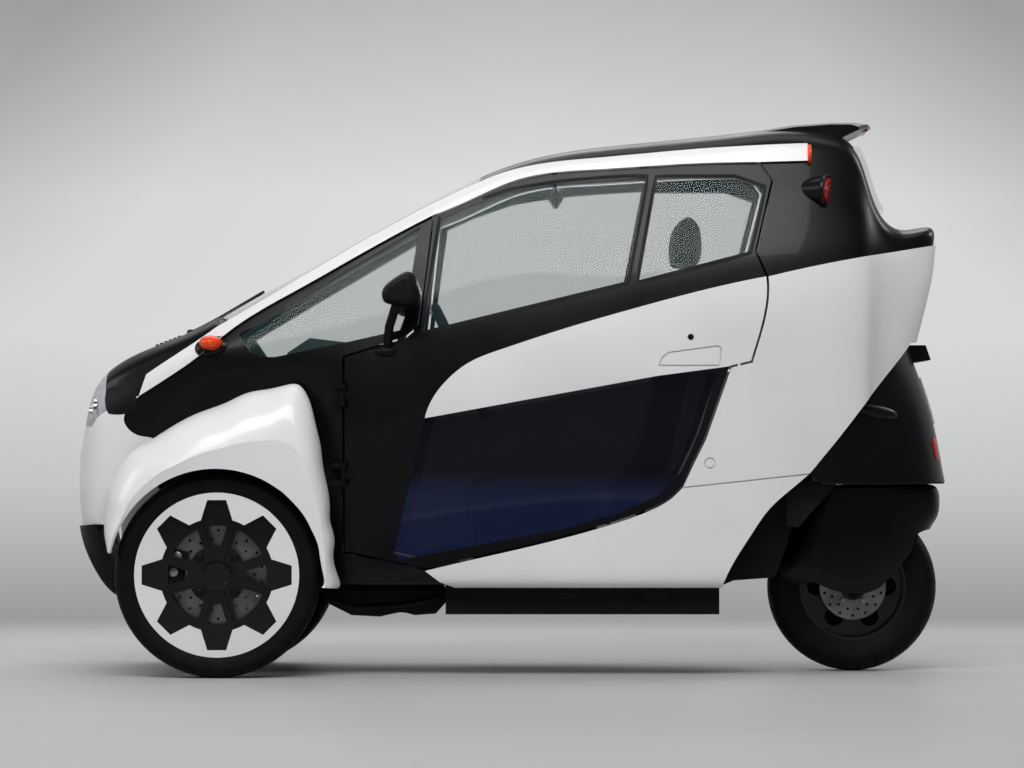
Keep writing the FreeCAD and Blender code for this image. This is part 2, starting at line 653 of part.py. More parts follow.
rear_cut = whole_region(
    ("curve", REAR_TOP_SHARES[1:]),
    ("line", REAR_END_SHARES[1:]),
    ("line", back(REAR_LOW_SHARES)),
    ("line", back(SILL_REAR_SHARES)),
    ("line", back(DOOR_CURL_SHARES)),
    ("curve", back(DOOR_REAR_SHARES)),
)
CAP_SHARES = (0.7635, 0.0, 0.3798)
SMALL_CAP_DIAMETER = 30.0
cap_far = place(CAP_SHARES) + LEFT * BODY_WIDTH
small_cap = rod(place(CAP_SHARES), cap_far, SMALL_CAP_DIAMETER)
small_cap = small_cap.cut(rod(place(CAP_SHARES), cap_far, SMALL_CAP_DIAMETER - 2 * GROOVE))
small_cap = small_cap.cut(hull(GROOVE_DEPTH - PANEL_PROUD))
rear_panel = skin(rear_cut, PANEL_PROUD).cut(small_cap).cut(mirrored(small_cap))
NODES["rear_side_panels"] = rear_panel
NODES["rear_lower_cover"] = largest(cover.cut(rear_panel))
house = house.fuse([house_tail.cut(rear_panel), steering_head, cheek, mirrored(cheek)]).cut(head_bore)
for name in ("sill_panels", "floor_pan", "rear_lower_cover"):
    house = house.cut(NODES[name])
NODES["wheel_house"] = largest(house)

rail_cut = region(
    ("curve", STRIP_LOW_SHARES[1:]),
    ("curve", DOOR_TOP_SHARES[1:]),
    ("line", RAIL_LOW_SHARES[1:]),
    ("line", [RAIL_UP_SHARES[-1]]),
    ("curve", back(RAIL_UP_SHARES)),
    ("curve", back(PILLAR_UP_SHARES)),
    ("curve", back(STRIP_UP_SHARES)),
    ("line", [STRIP_LOW_SHARES[0]]),
)
NODES["roof_rails"] = both(skin(rail_cut, PANEL_PROUD))

screen_cut = whole_region(
    ("curve", PILLAR_UP_SHARES[1:]),
    ("line", [TOP_SHARES[2], TOP_SHARES[1], PILLAR_UP_SHARES[0]]),
)
NODES["windscreen"] = hull().common(screen_cut).cut(hull(GLASS_THICKNESS))
roof_cut = whole_region(
    ("curve", RAIL_UP_SHARES[1:]),
    ("line", [TOP_SHARES[3], TOP_SHARES[2], RAIL_UP_SHARES[0]]),
)
NODES["roof_panel"] = skin(roof_cut)
hood_cut = whole_region(
    ("curve", STRIP_UP_SHARES[1:]),
    ("line", [TOP_SHARES[1], HOOD_EDGE_SHARES[-1]]),
    ("line", back(HOOD_EDGE_SHARES)),
)
NODES["hood"] = skin(hood_cut)

LAMP_INNER_SHARE = 0.30
lip_corner = (LIP_SHARES[0][0], LIP_SHARES[-1][1])
lip_cut = whole_region(("line", LIP_SHARES[1:]), ("line", [lip_corner, LIP_SHARES[0]]))
chin_cut = whole_region(("line", LIP_SHARES[2:]), ("line", CHIN_SHARES), ("line", [LIP_SHARES[1]]))
nose_cut = whole_region(
    ("line", HOOD_EDGE_SHARES[2:]),
    ("line", [TOP_SHARES[0], (TOP_SHARES[0][0], NOSE_SIDE_SHARES[-1][1]), NOSE_SIDE_SHARES[-1]]),
    ("curve", back(NOSE_SIDE_SHARES)),
)
lamp_wire = side_wire(("line", LAMP_SHARES))
lamp_cut = prism(lamp_wire, LAMP_INNER_SHARE * HALF_BODY, BODY_WIDTH)
nose = skin(nose_cut)
for cutter in (lip_cut, chin_cut, lamp_cut, mirrored(lamp_cut)):
    nose = nose.cut(cutter)
NODES["nose_panel"] = largest(nose)
NODES["headlamps"] = both(skin(lamp_cut.cut(hood_cut)))
NODES["lower_grille"] = skin(lip_cut, PANEL_PROUD)

upper_cut = whole_region(
    ("curve", REAR_TOP_SHARES[1:]),
    ("line", [TOP_SHARES[4], TOP_SHARES[3], RAIL_UP_SHARES[-1], RAIL_LOW_SHARES[-1]]),
    ("line", back(RAIL_LOW_SHARES)),
    ("line", DOOR_REAR_UP_SHARES[1:]),
)
WINDOW_SHARES = (1.744, 0.9565, -0.5128, 0.5128, 0.8339, 0.9478)
window_box = block(WINDOW_SHARES)
upper = skin(upper_cut)
WINDOW_PROUD = 12.0
NODES["rear_window"] = hull(-WINDOW_PROUD).common(window_box).common(upper_cut).cut(hull(GLASS_INSET))

# Round lamps: red ones behind, in pods, orange ones at the ends of the white rails and in front
TAIL_LAMP = 70.0
TAIL_POD = 92.0
TAIL_POD_FOOT = 44.0
TAIL_POD_LENGTH = 120.0
TAIL_POD_ANGLE = 25.0
TAIL_PLACE_SHARES = (0.9494, 0.7641, 0.8627)
LAMP_DEPTH = 9.0
tail_place = place(TAIL_PLACE_SHARES)
turn = math.radians(TAIL_POD_ANGLE)
tail_out = LEFT * math.sin(turn) - FORWARD * math.cos(turn)
pod_foot = tail_place - tail_out * TAIL_POD_LENGTH
pod = Part.makeCone(TAIL_POD_FOOT / 2, TAIL_POD / 2, TAIL_POD_LENGTH, pod_foot, tail_out)
pod = pod.cut(rod(tail_place - tail_out * LAMP_DEPTH, tail_place, TAIL_LAMP))
pod = pod.cut(hull(WALL)).cut(door_cut)
upper = upper.cut(window_box)
upper = upper.fuse([pod, mirrored(pod)])
NODES["rear_upper_shell"] = largest(upper)
tail_lamp = rod(tail_place - tail_out * LAMP_DEPTH, tail_place + tail_out * (LAMP_DEPTH / 2), TAIL_LAMP)
NODES["tail_lamps"] = both(largest(tail_lamp.cut(upper)))

TURN_LAMP = 52.0
TURN_PLACE_SHARES = (0.9188, 0.6872, 0.93)
turn_place = place(TURN_PLACE_SHARES)
turn_rear = rod(turn_place - FORWARD * LAMP_DEPTH, turn_place, TURN_LAMP).cut(hull())
FRONT_TURN_SHARES = (-0.0603, 0.759, 0.5934)
FRONT_TURN_DEPTH = 62.0
FRONT_TURN_HEIGHT = 40.0
FRONT_TURN_WIDTH = 60.0
turn_front = egg(place(FRONT_TURN_SHARES), FRONT_TURN_DEPTH, FRONT_TURN_WIDTH, FRONT_TURN_HEIGHT)
turn_front = turn_front.cut(hull(-PANEL_PROUD))
NODES["indicator_lamps"] = Part.makeCompound([turn_rear, mirrored(turn_rear), turn_front, mirrored(turn_front)])

# Spoiler over the rear window, lower at its sides than in the middle
SPOILER_SHARES = [
    (0.8329, 0.9645), (0.84, 0.9833), (0.9012, 0.9946), (0.9624, 0.9993), (0.9976, 1.0),
    (1.18, 0.9967), (1.204, 0.9906), (0.9894, 0.9725), (0.9576, 0.9591), (0.93, 0.9478),
]
SPOILER_SIDE_SHARES = [
    (0.8329, 0.9531), (0.84, 0.9719), (0.9012, 0.9832), (0.9594, 0.9879), (0.9906, 0.9876),
    (1.012, 0.9843), (1.024, 0.9786), (0.9776, 0.9651), (0.9541, 0.9531), (0.93, 0.9418),
]
SPOILER_HALF = 195.0
spoiler_middle = side_wire(("line", SPOILER_SHARES))
spoiler_left = side_wire(("line", SPOILER_SIDE_SHARES))
spoiler_left.translate(LEFT * SPOILER_HALF)
spoiler = Part.makeLoft([spoiler_left, spoiler_middle, mirrored(spoiler_left)], True, False)
NODES["roof_spoiler"] = largest(spoiler.cut(hull()))

# Wiper lying along the foot of the windscreen, with its pivot on the hood
WIPER_LENGTH = 236.0
WIPER_WIDTH = 14.0
WIPER_RISE = 14.0
WIPER_ANGLE = 28.0
WIPER_PIVOT = 34.0
WIPER_PIVOT_RISE = 22.0
WIPER_PLACE_SHARES = (-0.28, -0.1538, 0.4689)
wiper_place = place(WIPER_PLACE_SHARES)
blade = Part.makeBox(WIPER_LENGTH, WIPER_WIDTH, HEIGHT, Vector(-WIPER_LENGTH, 0, 0))
blade.rotate(Vector(0, 0, 0), UP, -WIPER_ANGLE)
blade.translate(wiper_place)
pivot = rod(wiper_place, wiper_place + UP * HEIGHT, WIPER_PIVOT).common(hull(-WIPER_PIVOT_RISE))
wiper = hull(-WIPER_RISE).common(blade).fuse(pivot)
NODES["wiper"] = largest(wiper.cut(hull()))

# Mirror inside, hung from the roof
CABIN_MIRROR_SHARES = (0.5241, 0.0, 0.864)
CABIN_MIRROR_SIZE = (30.0, 150.0, 56.0)
CABIN_MIRROR_STEM = 16.0
cabin_mirror = egg(place(CABIN_MIRROR_SHARES), *CABIN_MIRROR_SIZE)
stem = rod(place(CABIN_MIRROR_SHARES), place(CABIN_MIRROR_SHARES) + UP * HEIGHT, CABIN_MIRROR_STEM)
NODES["cabin_mirror"] = cabin_mirror.fuse(stem.common(hull(WALL)))


# Wheels
def revolved(outline, centre):
    """Turns a closed outline of (radius, y) points about the axle line through centre."""
    points = [Vector(radius, y, 0) for radius, y in outline]
    face = Part.Face(Part.makePolygon(points + points[:1]))
    solid = face.revolve(Vector(0, 0, 0), LEFT, 360)
    solid.translate(centre)
    return solid


# Half of a tyre's outline: share of its height over the rim, and of its width
CROWN_LINE_SHARES = ((1.0, 0.0), (0.97, 0.24), (0.86, 0.40), (0.68, 0.485), (0.48, 0.5), (0.2, 0.46), (0.0, 0.42))


def tyre(diameter, width, rim_diameter, centre):
    """A tyre with a round crown, solid down to the rim."""
    rim = rim_diameter / 2
    height = diameter / 2 - rim
    right = [Vector(rim + h * height, w * width, 0) for h, w in CROWN_LINE_SHARES]
    left = [Vector(v.x, -v.y, 0) for v in reversed(right)]
    curve = Part.BSplineCurve()
    curve.interpolate(left + right[1:])
    face = Part.Face(Part.Wire([curve.toShape(), Part.makeLine(right[-1], left[0])]))
    solid = face.revolve(Vector(0, 0, 0), LEFT, 360)
    solid.translate(centre)
    return solid


SPOKES = 8
RING_WALL = 7.0
RING_INNER_SHARE = 0.69
NOTCH_OUTER_SHARE = 0.91
NOTCH_SHARES = (0.23, 0.80)
CAP_DIAMETER = 82.0
FLANGE_DIAMETER = 156.0
FLANGE_THICKNESS = 8.0
SPOKE_WIDTH = 27.0
SPOKE_RIB = 9.0
SPOKE_DEPTH = 14.0
SPOKE_SPREAD = 17.5
WEB_INNER_SHARE = 0.60
WEB_THICKNESS = 6.0
FACE_SETBACK = 4.0
RIM_EDGE_SHARE = 0.42
HUB_BACK_SHARE = 0.20
DISC_OFFSET = 15.0
LOBES = 4


def turned(shape, centre, degrees):
    copy = shape.copy()
    copy.rotate(centre, LEFT, degrees)
    return copy


def front_wheel(centre):
    """The white ring, the black spider with its rim barrel, and the brake disc, for the left wheel."""
    rim = FRONT_RIM_DIAMETER / 2
    face_y = FRONT_TYRE_WIDTH / 2 - FACE_SETBACK
    edge = FRONT_TYRE_WIDTH * RIM_EDGE_SHARE
    back_y = face_y - RING_WALL
    ring_in = RING_INNER_SHARE * rim
    ring = revolved([(ring_in, back_y), (ring_in, face_y), (rim, face_y), (rim, back_y)], centre)
    narrow, wide = [share * rim / 2 for share in NOTCH_SHARES]
    reach = NOTCH_OUTER_SHARE * rim
    corners = [Vector(0, 0, -wide), Vector(reach, 0, -narrow), Vector(reach, 0, narrow), Vector(0, 0, wide)]
    notch = Part.Face(Part.makePolygon(corners + corners[:1])).extrude(LEFT * FRONT_TYRE_WIDTH)
    notch.translate(centre)
    for i in range(SPOKES):
        ring = ring.cut(turned(notch, centre, i * 360 / SPOKES))
    barrel_in = rim - RIM_WALL
    barrel = revolved([(barrel_in, -edge), (barrel_in, back_y), (rim, back_y), (rim, -edge)], centre)
    web_y = back_y - SPOKE_DEPTH
    web_in, web_out = WEB_INNER_SHARE * rim, rim - RIM_WALL / 2
    web_front = web_y + WEB_THICKNESS
    web = revolved([(web_in, web_y), (web_in, web_front), (web_out, web_front), (web_out, web_y)], centre)
    hub_back = centre - LEFT * (FRONT_TYRE_WIDTH * HUB_BACK_SHARE)
    hub = rod(hub_back, centre + LEFT * back_y, HUB_DIAMETER)
    flange = rod(centre + LEFT * web_y, centre + LEFT * (web_y + FLANGE_THICKNESS), FLANGE_DIAMETER)
    cap = rod(centre, centre + LEFT * (face_y + FACE_SETBACK / 2), CAP_DIAMETER)
    spider = barrel.fuse([web, hub, flange, cap])
    length = rim - RIM_WALL / 2
    for i in range(LOBES):
        for spread in (-SPOKE_SPREAD, SPOKE_SPREAD):
            spoke = Part.makeBox(length, SPOKE_DEPTH / 2, SPOKE_WIDTH, Vector(0, web_y, -SPOKE_WIDTH / 2))
            rib = Part.makeBox(length, SPOKE_DEPTH, SPOKE_RIB, Vector(0, web_y, -SPOKE_RIB / 2))
            spoke = spoke.fuse(rib)
            spoke.translate(centre)
            spider = spider.fuse(turned(spoke, centre, i * 360 / LOBES + spread))
    bore_end = centre + LEFT * back_y
    bore = rod(centre - LEFT * FRONT_TYRE_WIDTH, bore_end, AXLE_DIAMETER + 2 * AXLE_CLEARANCE)
    disc_in, disc_out = HUB_DIAMETER / 2, DISC_DIAMETER / 2
    disc_y = -DISC_OFFSET
    disc_face = disc_y + DISC_THICKNESS
    disc = revolved([(disc_in, disc_y), (disc_in, disc_face), (disc_out, disc_face), (disc_out, disc_y)], centre)
    return ring, spider.cut(bore), disc


front_centre = Vector(FRONT_AXLE_X, HALF_TRACK, FRONT_AXLE_Z)
ring, spider, disc = front_wheel(front_centre)
front_rubber = tyre(FRONT_TYRE_DIAMETER, FRONT_TYRE_WIDTH, FRONT_RIM_DIAMETER, front_centre)
for side, turn in (("left", lambda s: s), ("right", mirrored)):
    NODES["front_tyre_" + side] = turn(front_rubber)
    NODES["front_wheel_" + side] = turn(spider)
    NODES["front_ring_" + side] = turn(ring)
    NODES["front_disc_" + side] = turn(disc)

rear_centre = Vector(REAR_AXLE_X, 0, REAR_AXLE_Z)
NODES["rear_tyre"] = tyre(REAR_TYRE_DIAMETER, REAR_TYRE_WIDTH, REAR_RIM_DIAMETER, rear_centre)
REAR_WEB = 14.0
REAR_HOLES = 6
REAR_HOLE_SHARES = (0.36, 0.66)
rear_rim = REAR_RIM_DIAMETER / 2
rear_edge = REAR_TYRE_WIDTH * RIM_EDGE_SHARE
rear_wheel = revolved([(rear_rim - RIM_WALL, -rear_edge), (rear_rim - RIM_WALL, rear_edge),
                       (rear_rim, rear_edge), (rear_rim, -rear_edge)], rear_centre)
web = rod(rear_centre - LEFT * (REAR_WEB / 2), rear_centre + LEFT * (REAR_WEB / 2), REAR_RIM_DIAMETER - RIM_WALL)
for i in range(REAR_HOLES):
    middle = rear_centre + Vector(REAR_HOLE_SHARES[1] * rear_rim, 0, 0)
    hole = rod(middle - LEFT * REAR_WEB, middle + LEFT * REAR_WEB, REAR_HOLE_SHARES[0] * rear_rim)
    web = web.cut(turned(hole, rear_centre, i * 360 / REAR_HOLES))
REAR_HUB_DIAMETER = 74.0
REAR_HUB_SHARE = 0.44
REAR_DISC_SHARE = 0.36
hub_half = LEFT * (REAR_TYRE_WIDTH * REAR_HUB_SHARE)
rear_wheel = rear_wheel.fuse([web, rod(rear_centre - hub_half, rear_centre + hub_half, REAR_HUB_DIAMETER)])
rear_bore = rod(rear_centre - LEFT * REAR_TYRE_WIDTH, rear_centre + LEFT * REAR_TYRE_WIDTH,
                AXLE_DIAMETER + 2 * AXLE_CLEARANCE)
NODES["rear_wheel"] = rear_wheel.cut(rear_bore)
disc_y = REAR_TYRE_WIDTH * REAR_DISC_SHARE
disc_face = disc_y + DISC_THICKNESS
disc_in, disc_out = REAR_HUB_DIAMETER / 2, REAR_DISC_DIAMETER / 2
NODES["rear_disc"] = revolved([(disc_in, disc_y), (disc_in, disc_face), (disc_out, disc_face), (disc_out, disc_y)],
                              rear_centre)

# Front suspension: knuckle with its spindle, caliper and fender stay, and two arms to the subframe
KNUCKLE_INNER = 296.0
KNUCKLE_WIDTH = 62.0
KNUCKLE_THICKNESS = 22.0
KNUCKLE_HEIGHT_SHARES = (0.125, 0.245)
SPINDLE_END = 372.0
ARM_DIAMETER = 26.0
LOWER_ARM_SHARES = [
    (0.0447, 0.3846, 0.1554), (0.0, 0.7795, 0.1433), (-0.191, 0.3846, 0.1554),
]
UPPER_ARM_SHARES = [
    (0.0329, 0.4872, 0.2679), (0.0, 0.7795, 0.2277), (-0.1407, 0.4872, 0.2679),
]
CALIPER_SHARES = (0.66, 1.08)
CALIPER_WALL = 9.0
CALIPER_ANGLE = 12.0
CALIPER_HEIGHT = 84.0
STAY_THICKNESS = 6.0
STAY_WIDTH = 34.0
STAY_ANGLES = (58.0, 96.0)

axle = front_centre
knuckle_y = KNUCKLE_INNER
knuckle = box(axle.x - KNUCKLE_WIDTH / 2, axle.x + KNUCKLE_WIDTH / 2, knuckle_y, knuckle_y + KNUCKLE_THICKNESS,
              KNUCKLE_HEIGHT_SHARES[0] * HEIGHT, KNUCKLE_HEIGHT_SHARES[1] * HEIGHT)
spindle = rod(Vector(axle.x, knuckle_y, axle.z), Vector(axle.x, SPINDLE_END, axle.z), AXLE_DIAMETER)
disc_mid = HALF_TRACK - DISC_OFFSET + DISC_THICKNESS / 2
caliper_in = CALIPER_SHARES[0] * DISC_DIAMETER / 2
caliper_out = CALIPER_SHARES[1] * DISC_DIAMETER / 2 + MOVING_GAP
caliper_half = DISC_THICKNESS / 2 + MOVING_GAP
caliper = box(axle.x + caliper_in, axle.x + caliper_out, knuckle_y + KNUCKLE_THICKNESS / 2,
              disc_mid + caliper_half + CALIPER_WALL, axle.z - CALIPER_HEIGHT / 2, axle.z + CALIPER_HEIGHT / 2)
caliper_room = rod(Vector(axle.x, disc_mid - caliper_half, axle.z), Vector(axle.x, disc_mid + caliper_half, axle.z),
                   DISC_DIAMETER + 2 * MOVING_GAP)
bracket = box(axle.x, axle.x + caliper_out - MOVING_GAP, knuckle_y, knuckle_y + KNUCKLE_THICKNESS / 2 + LINER / 2,
              axle.z - KNUCKLE_WIDTH / 2, axle.z + KNUCKLE_WIDTH / 2)
caliper = turned(caliper.cut(caliper_room).fuse(bracket), axle, -CALIPER_ANGLE)
suspension = knuckle.fuse([spindle, caliper])

# Front fenders: sections about the axle, each with its angle from straight ahead, the radii of its outline and
# of its crease, as shares of the tyre's radius, and the place of its inner edge
FENDER_SHARES = [
    (12.0, 1.1029, 1.045, 0.759), (17.1, 1.1618, 1.045, 0.759), (23.6, 1.2243, 1.05, 0.759),
    (33.4, 1.3199, 1.06, 0.759), (41.4, 1.3897, 1.09, 0.759), (49.4, 1.4412, 1.104, 0.759),
    (57.3, 1.4706, 1.116, 0.759), (64.8, 1.4779, 1.127, 0.759), (73.3, 1.5221, 1.139, 0.759),
    (84.7, 1.6029, 1.189, 0.759), (94.7, 1.7169, 1.244, 0.7692), (103.5, 1.8493, 1.323, 0.8),
    (108.7, 1.9375, 1.37, 0.8333), (112.4, 2.001, 1.41, 0.865), (116.0, 1.956, 1.441, 0.88),
    (120.0, 1.838, 1.451, 0.90), (125.5, 1.677, 1.42, 0.914), (132.0, 1.516, 1.346, 0.925),
    (140.6, 1.375, 1.237, 0.9385), (150.0, 1.26, 1.162, 0.95), (158.0, 1.201, 1.11, 0.956),
    (166.5, 1.167, 1.082, 0.962), (176.0, 1.145, 1.066, 0.966), (186.4, 1.152, 1.06, 0.9692),
]
FENDER_ARCH = 280.0
FENDER_TUCK = 5.0
FENDER_LINE_SHARES = ((0.0, 0.0), (0.40, 0.10), (0.80, 0.42), (1.0, 0.80), (1.0, 1.0))


def fender_section(angle, reach, crease, inner):
    """One closed section of the fender, a thin shell with a crease that is open towards the tyre."""
    turn = math.radians(angle)
    out = Vector(math.cos(turn), 0, math.sin(turn))
    radius = reach * FRONT_AXLE_Z
    ridge = crease * FRONT_AXLE_Z
    wide = FENDER_REACH - inner * HALF_BODY

    def line(thickness):
        edge = axle_foot + out * FENDER_ARCH + LEFT * (FENDER_REACH - FENDER_TUCK - thickness)
        points = []
        for rise, drop in FENDER_LINE_SHARES:
            height = ridge + rise * (radius - thickness - ridge)
            y = FENDER_REACH - thickness - drop * (wide - thickness)
            points.append(axle_foot + out * height + LEFT * y)
        curve = Part.BSplineCurve()
        curve.buildFromPoles(points, False, len(points) - 2)
        return edge, points, curve.toShape()

    edge_out, outer, outside = line(0)
    edge_in, inner_points, inside = line(FENDER_THICKNESS)
    return Part.Wire([Part.makeLine(edge_out, outer[0]), outside, Part.makeLine(outer[-1], inner_points[-1]),
                      inside, Part.makeLine(inner_points[0], edge_in), Part.makeLine(edge_in, edge_out)])


axle_foot = Vector(FRONT_AXLE_X, 0, FRONT_AXLE_Z)
fender = Part.makeLoft([fender_section(*row) for row in FENDER_SHARES], True, False)
NODES["front_fenders"] = both(fender)

stay_y = KNUCKLE_INNER - STAY_THICKNESS
for angle in STAY_ANGLES:
    near = min(FENDER_SHARES, key=lambda row: abs(row[0] - angle))
    stay_foot = Vector(axle.x, stay_y, axle.z - STAY_WIDTH / 2)
    stay = Part.makeBox(near[1] * FRONT_AXLE_Z, STAY_THICKNESS, STAY_WIDTH, stay_foot)
    suspension = suspension.fuse(turned(stay, axle, -angle))
arms = []
for points in (LOWER_ARM_SHARES, UPPER_ARM_SHARES):
    inner_front, outer, inner_rear = [place(p) for p in points]
    arms.append(rod(inner_front, outer, ARM_DIAMETER).fuse(rod(inner_rear, outer, ARM_DIAMETER)))
suspension = suspension.fuse(arms).cut(subframe).cut(side_panel)
NODES["front_suspension"] = both(largest(suspension))

# Rear cowl over the steered wheel, and the fork inside it
COWL_SHARES = [
    (0.9565, 0.3382), (0.9771, 0.3396), (1.024, 0.3403), (1.204, 0.3403), (1.384, 0.3409), (1.564, 0.3409),
    (1.712, 0.3409), (1.928, 0.3342), (1.96, 0.3121), (1.928, 0.2793), (1.852, 0.2579), (1.796, 0.2217),
    (1.688, 0.1889), (1.548, 0.1581), (1.388, 0.1306), (1.168, 0.1165), (0.9929, 0.1165), (0.9453, 0.1306),
    (0.905, 0.15), (0.88, 0.16), (0.8735, 0.173), (0.8894, 0.2304), (0.9212, 0.294), (0.9453, 0.3302),
]
COWL_WIDE_SHARES = ((-1.0, 0.52), (-0.95, 0.72), (-0.82, 0.86), (-0.55, 0.96), (0.0, 1.0), (0.55, 0.96),
                    (0.82, 0.86), (0.95, 0.72), (1.0, 0.52))
COWL_TOP_SHARE = 0.12
COWL_HALF = 104.0
COWL_WALL = 8.0
COWL_MIDDLE_SHARES = [(0.9859, 0.0, 0.2277)]


def cowl_solid(inset):
    middle = place(COWL_MIDDLE_SHARES[0])
    sections = []
    for wide, size in COWL_WIDE_SHARES:
        points = []
        for p in COWL_SHARES:
            spoke = side_point(p) - middle
            spoke = spoke * ((spoke.Length - inset) / spoke.Length)
            rise = 1 - (1 - size) * COWL_TOP_SHARE if spoke.z > 0 else size
            points.append(middle + Vector(spoke.x * size, wide * (COWL_HALF - inset), spoke.z * rise))
        curve = Part.BSplineCurve()
        curve.interpolate(points, PeriodicFlag=True)
        sections.append(Part.Wire(curve.toShape()))
    return Part.makeLoft(sections, True, False)


cowl_inner = cowl_solid(COWL_WALL)
dropped = cowl_inner.copy()
dropped.translate(-UP * (REAR_AXLE_Z / 2))
kingpin = rod(Vector(REAR_AXLE_X, 0, REAR_TYRE_DIAMETER + MOVING_GAP), head_top, KINGPIN_DIAMETER)
TYRE_ROOM = 10.0
tyre_side = LEFT * (REAR_TYRE_WIDTH / 2 + TYRE_ROOM)
tyre_room = rod(rear_centre - tyre_side, rear_centre + tyre_side, REAR_TYRE_DIAMETER + 2 * TYRE_ROOM)
cowl = cowl_solid(0).cut(cowl_inner).cut(dropped).cut(kingpin).cut(tyre_room)
cowl = largest(cowl)
NODES["rear_cowl"] = cowl

FORK_PLATE = 12.0
FORK_ROOM = 8.0
FORK_HALF = REAR_TYRE_WIDTH / 2 + FORK_ROOM
FORK_SHARES = [
    (1.244, 0.3269), (0.9653, 0.3269), (0.9741, 0.221), (0.9847, 0.144), (1.0, 0.1313), (1.104, 0.144),
    (1.176, 0.221),
]
CROWN_SHARES = (1.264, 0.9624, -0.2564, 0.2564, 0.3135, 0.3617)
plate = prism(side_wire(("line", FORK_SHARES)), FORK_HALF, FORK_HALF + FORK_PLATE)
crown = block(CROWN_SHARES).common(cowl_inner)
axle_half = LEFT * (FORK_HALF + FORK_PLATE / 2)
rear_axle = rod(rear_centre - axle_half, rear_centre + axle_half, AXLE_DIAMETER)
fork = crown.fuse([plate, mirrored(plate), rear_axle, kingpin])
NODES["rear_fork"] = largest(fork.cut(cowl))

# Inside: seats, dashboard, column and steering wheel
SEAT_CUSHION_SHARES = [
    (0.3753, 0.3349), (0.3865, 0.3516), (0.4347, 0.3443), (0.5312, 0.3295), (0.6094, 0.3168),
    (0.6094, 0.2679), (0.3753, 0.2679),
]
SEAT_BACK_SHARES = [
    (0.5953, 0.2813), (0.6276, 0.3483), (0.66, 0.4213), (0.6841, 0.5311), (0.71, 0.7328), (0.7565, 0.7328),
    (0.7329, 0.5311), (0.7035, 0.3751), (0.6506, 0.2679),
]
SEAT_HEAD_SHARES = [
    (0.7065, 0.7328), (0.7176, 0.8151), (0.7324, 0.8332), (0.7465, 0.8205), (0.7535, 0.7328),
]
SEAT_FOOT_SHARES = (0.5918, 0.3918, -0.3077, 0.3077, 0.1942, 0.2679)
SEAT_WIDE_SHARE = 0.58
HEAD_WIDE_SHARE = 0.30
REAR_CUSHION_SHARES = [
    (0.7859, 0.4287), (0.7976, 0.4454), (0.9271, 0.4354), (0.9271, 0.3851), (0.7859, 0.3851),
]
REAR_BACK_SHARES = [
    (0.9212, 0.4019), (0.9271, 0.4689), (0.9624, 0.7234), (1.024, 0.7234), (0.9741, 0.4689),
    (0.9682, 0.4019),
]
REAR_FOOT_SHARES = (0.9153, 0.8035, -0.2821, 0.2821, 0.3483, 0.3885)
REAR_WIDE_SHARE = 0.54


def seat_block(shares, wide):
    return prism(side_wire(("line", shares)), -wide * HALF_BODY, wide * HALF_BODY)


front_seat = seat_block(SEAT_CUSHION_SHARES, SEAT_WIDE_SHARE).fuse([
    seat_block(SEAT_BACK_SHARES, SEAT_WIDE_SHARE),
    seat_block(SEAT_HEAD_SHARES, HEAD_WIDE_SHARE),
    block(SEAT_FOOT_SHARES),
])
NODES["front_seat"] = front_seat
rear_foot = block(REAR_FOOT_SHARES).common(lifted)
rear_back = seat_block(REAR_BACK_SHARES, REAR_WIDE_SHARE)
rear_seat = seat_block(REAR_CUSHION_SHARES, REAR_WIDE_SHARE).fuse([rear_back, rear_foot])
NODES["rear_seat"] = rear_seat.cut(house_band)

DASH_SHARES = [
    (0.2624, 0.4689), (0.2741, 0.5358), (0.2565, 0.576), (0.2094, 0.5928), (0.1388, 0.6028),
    (0.1035, 0.576), (0.1035, 0.4287), (0.1741, 0.4287),
]
DASH_BEAM_SHARES = (0.18, 0.1388, -1.0256, 1.0256, 0.4689, 0.5358)
DASH_SIDE_GAP = 16.0
dash = prism(side_wire(("line", DASH_SHARES)), -BODY_WIDTH, BODY_WIDTH).common(hull(WALL + DASH_SIDE_GAP))
dash = dash.fuse(block(DASH_BEAM_SHARES).common(hull(WALL)))
COLUMN_SHARES = [
    (0.2447, 0.0, 0.4956), (0.3359, 0.0, 0.5439),
]
COLUMN_DIAMETER = 44.0
SHAFT_DIAMETER = 20.0
WHEEL_HUB = 90.0
STEERING_DIAMETER = 330.0
STEERING_TUBE = 26.0
STEERING_SPOKE = 20.0
column_foot, column_top = [place(p) for p in COLUMN_SHARES]
direction = (column_top - column_foot).normalize()
shaft_end = column_top + direction * WHEEL_HUB
column = rod(column_foot, column_top, COLUMN_DIAMETER).fuse(rod(column_top, shaft_end - direction * LINER, SHAFT_DIAMETER))
NODES["dashboard"] = dash.fuse(column)
wheel_middle = shaft_end - direction * (WHEEL_HUB / 4)
steering = Part.makeTorus(STEERING_DIAMETER / 2, STEERING_TUBE / 2, wheel_middle, direction)
hub = rod(column_top + direction * (WHEEL_HUB / 2), shaft_end, WHEEL_HUB)
steering = steering.fuse(hub)
across = direction.cross(LEFT)
for reach in (LEFT, -LEFT, across):
    spoke = rod(wheel_middle, wheel_middle + reach * (STEERING_DIAMETER / 2), STEERING_SPOKE)
    steering = steering.fuse(spoke)
steering = steering.cut(rod(column_foot, shaft_end - direction * LINER, SHAFT_DIAMETER + 2 * AXLE_CLEARANCE))
NODES["steering_wheel"] = steering

os.makedirs("parts", exist_ok=True)
for name, shape in NODES.items():
    shape.exportStep("parts/" + name + ".step")
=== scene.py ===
import json
import math

import bmesh
import bpy
from mathutils import Matrix, Vector


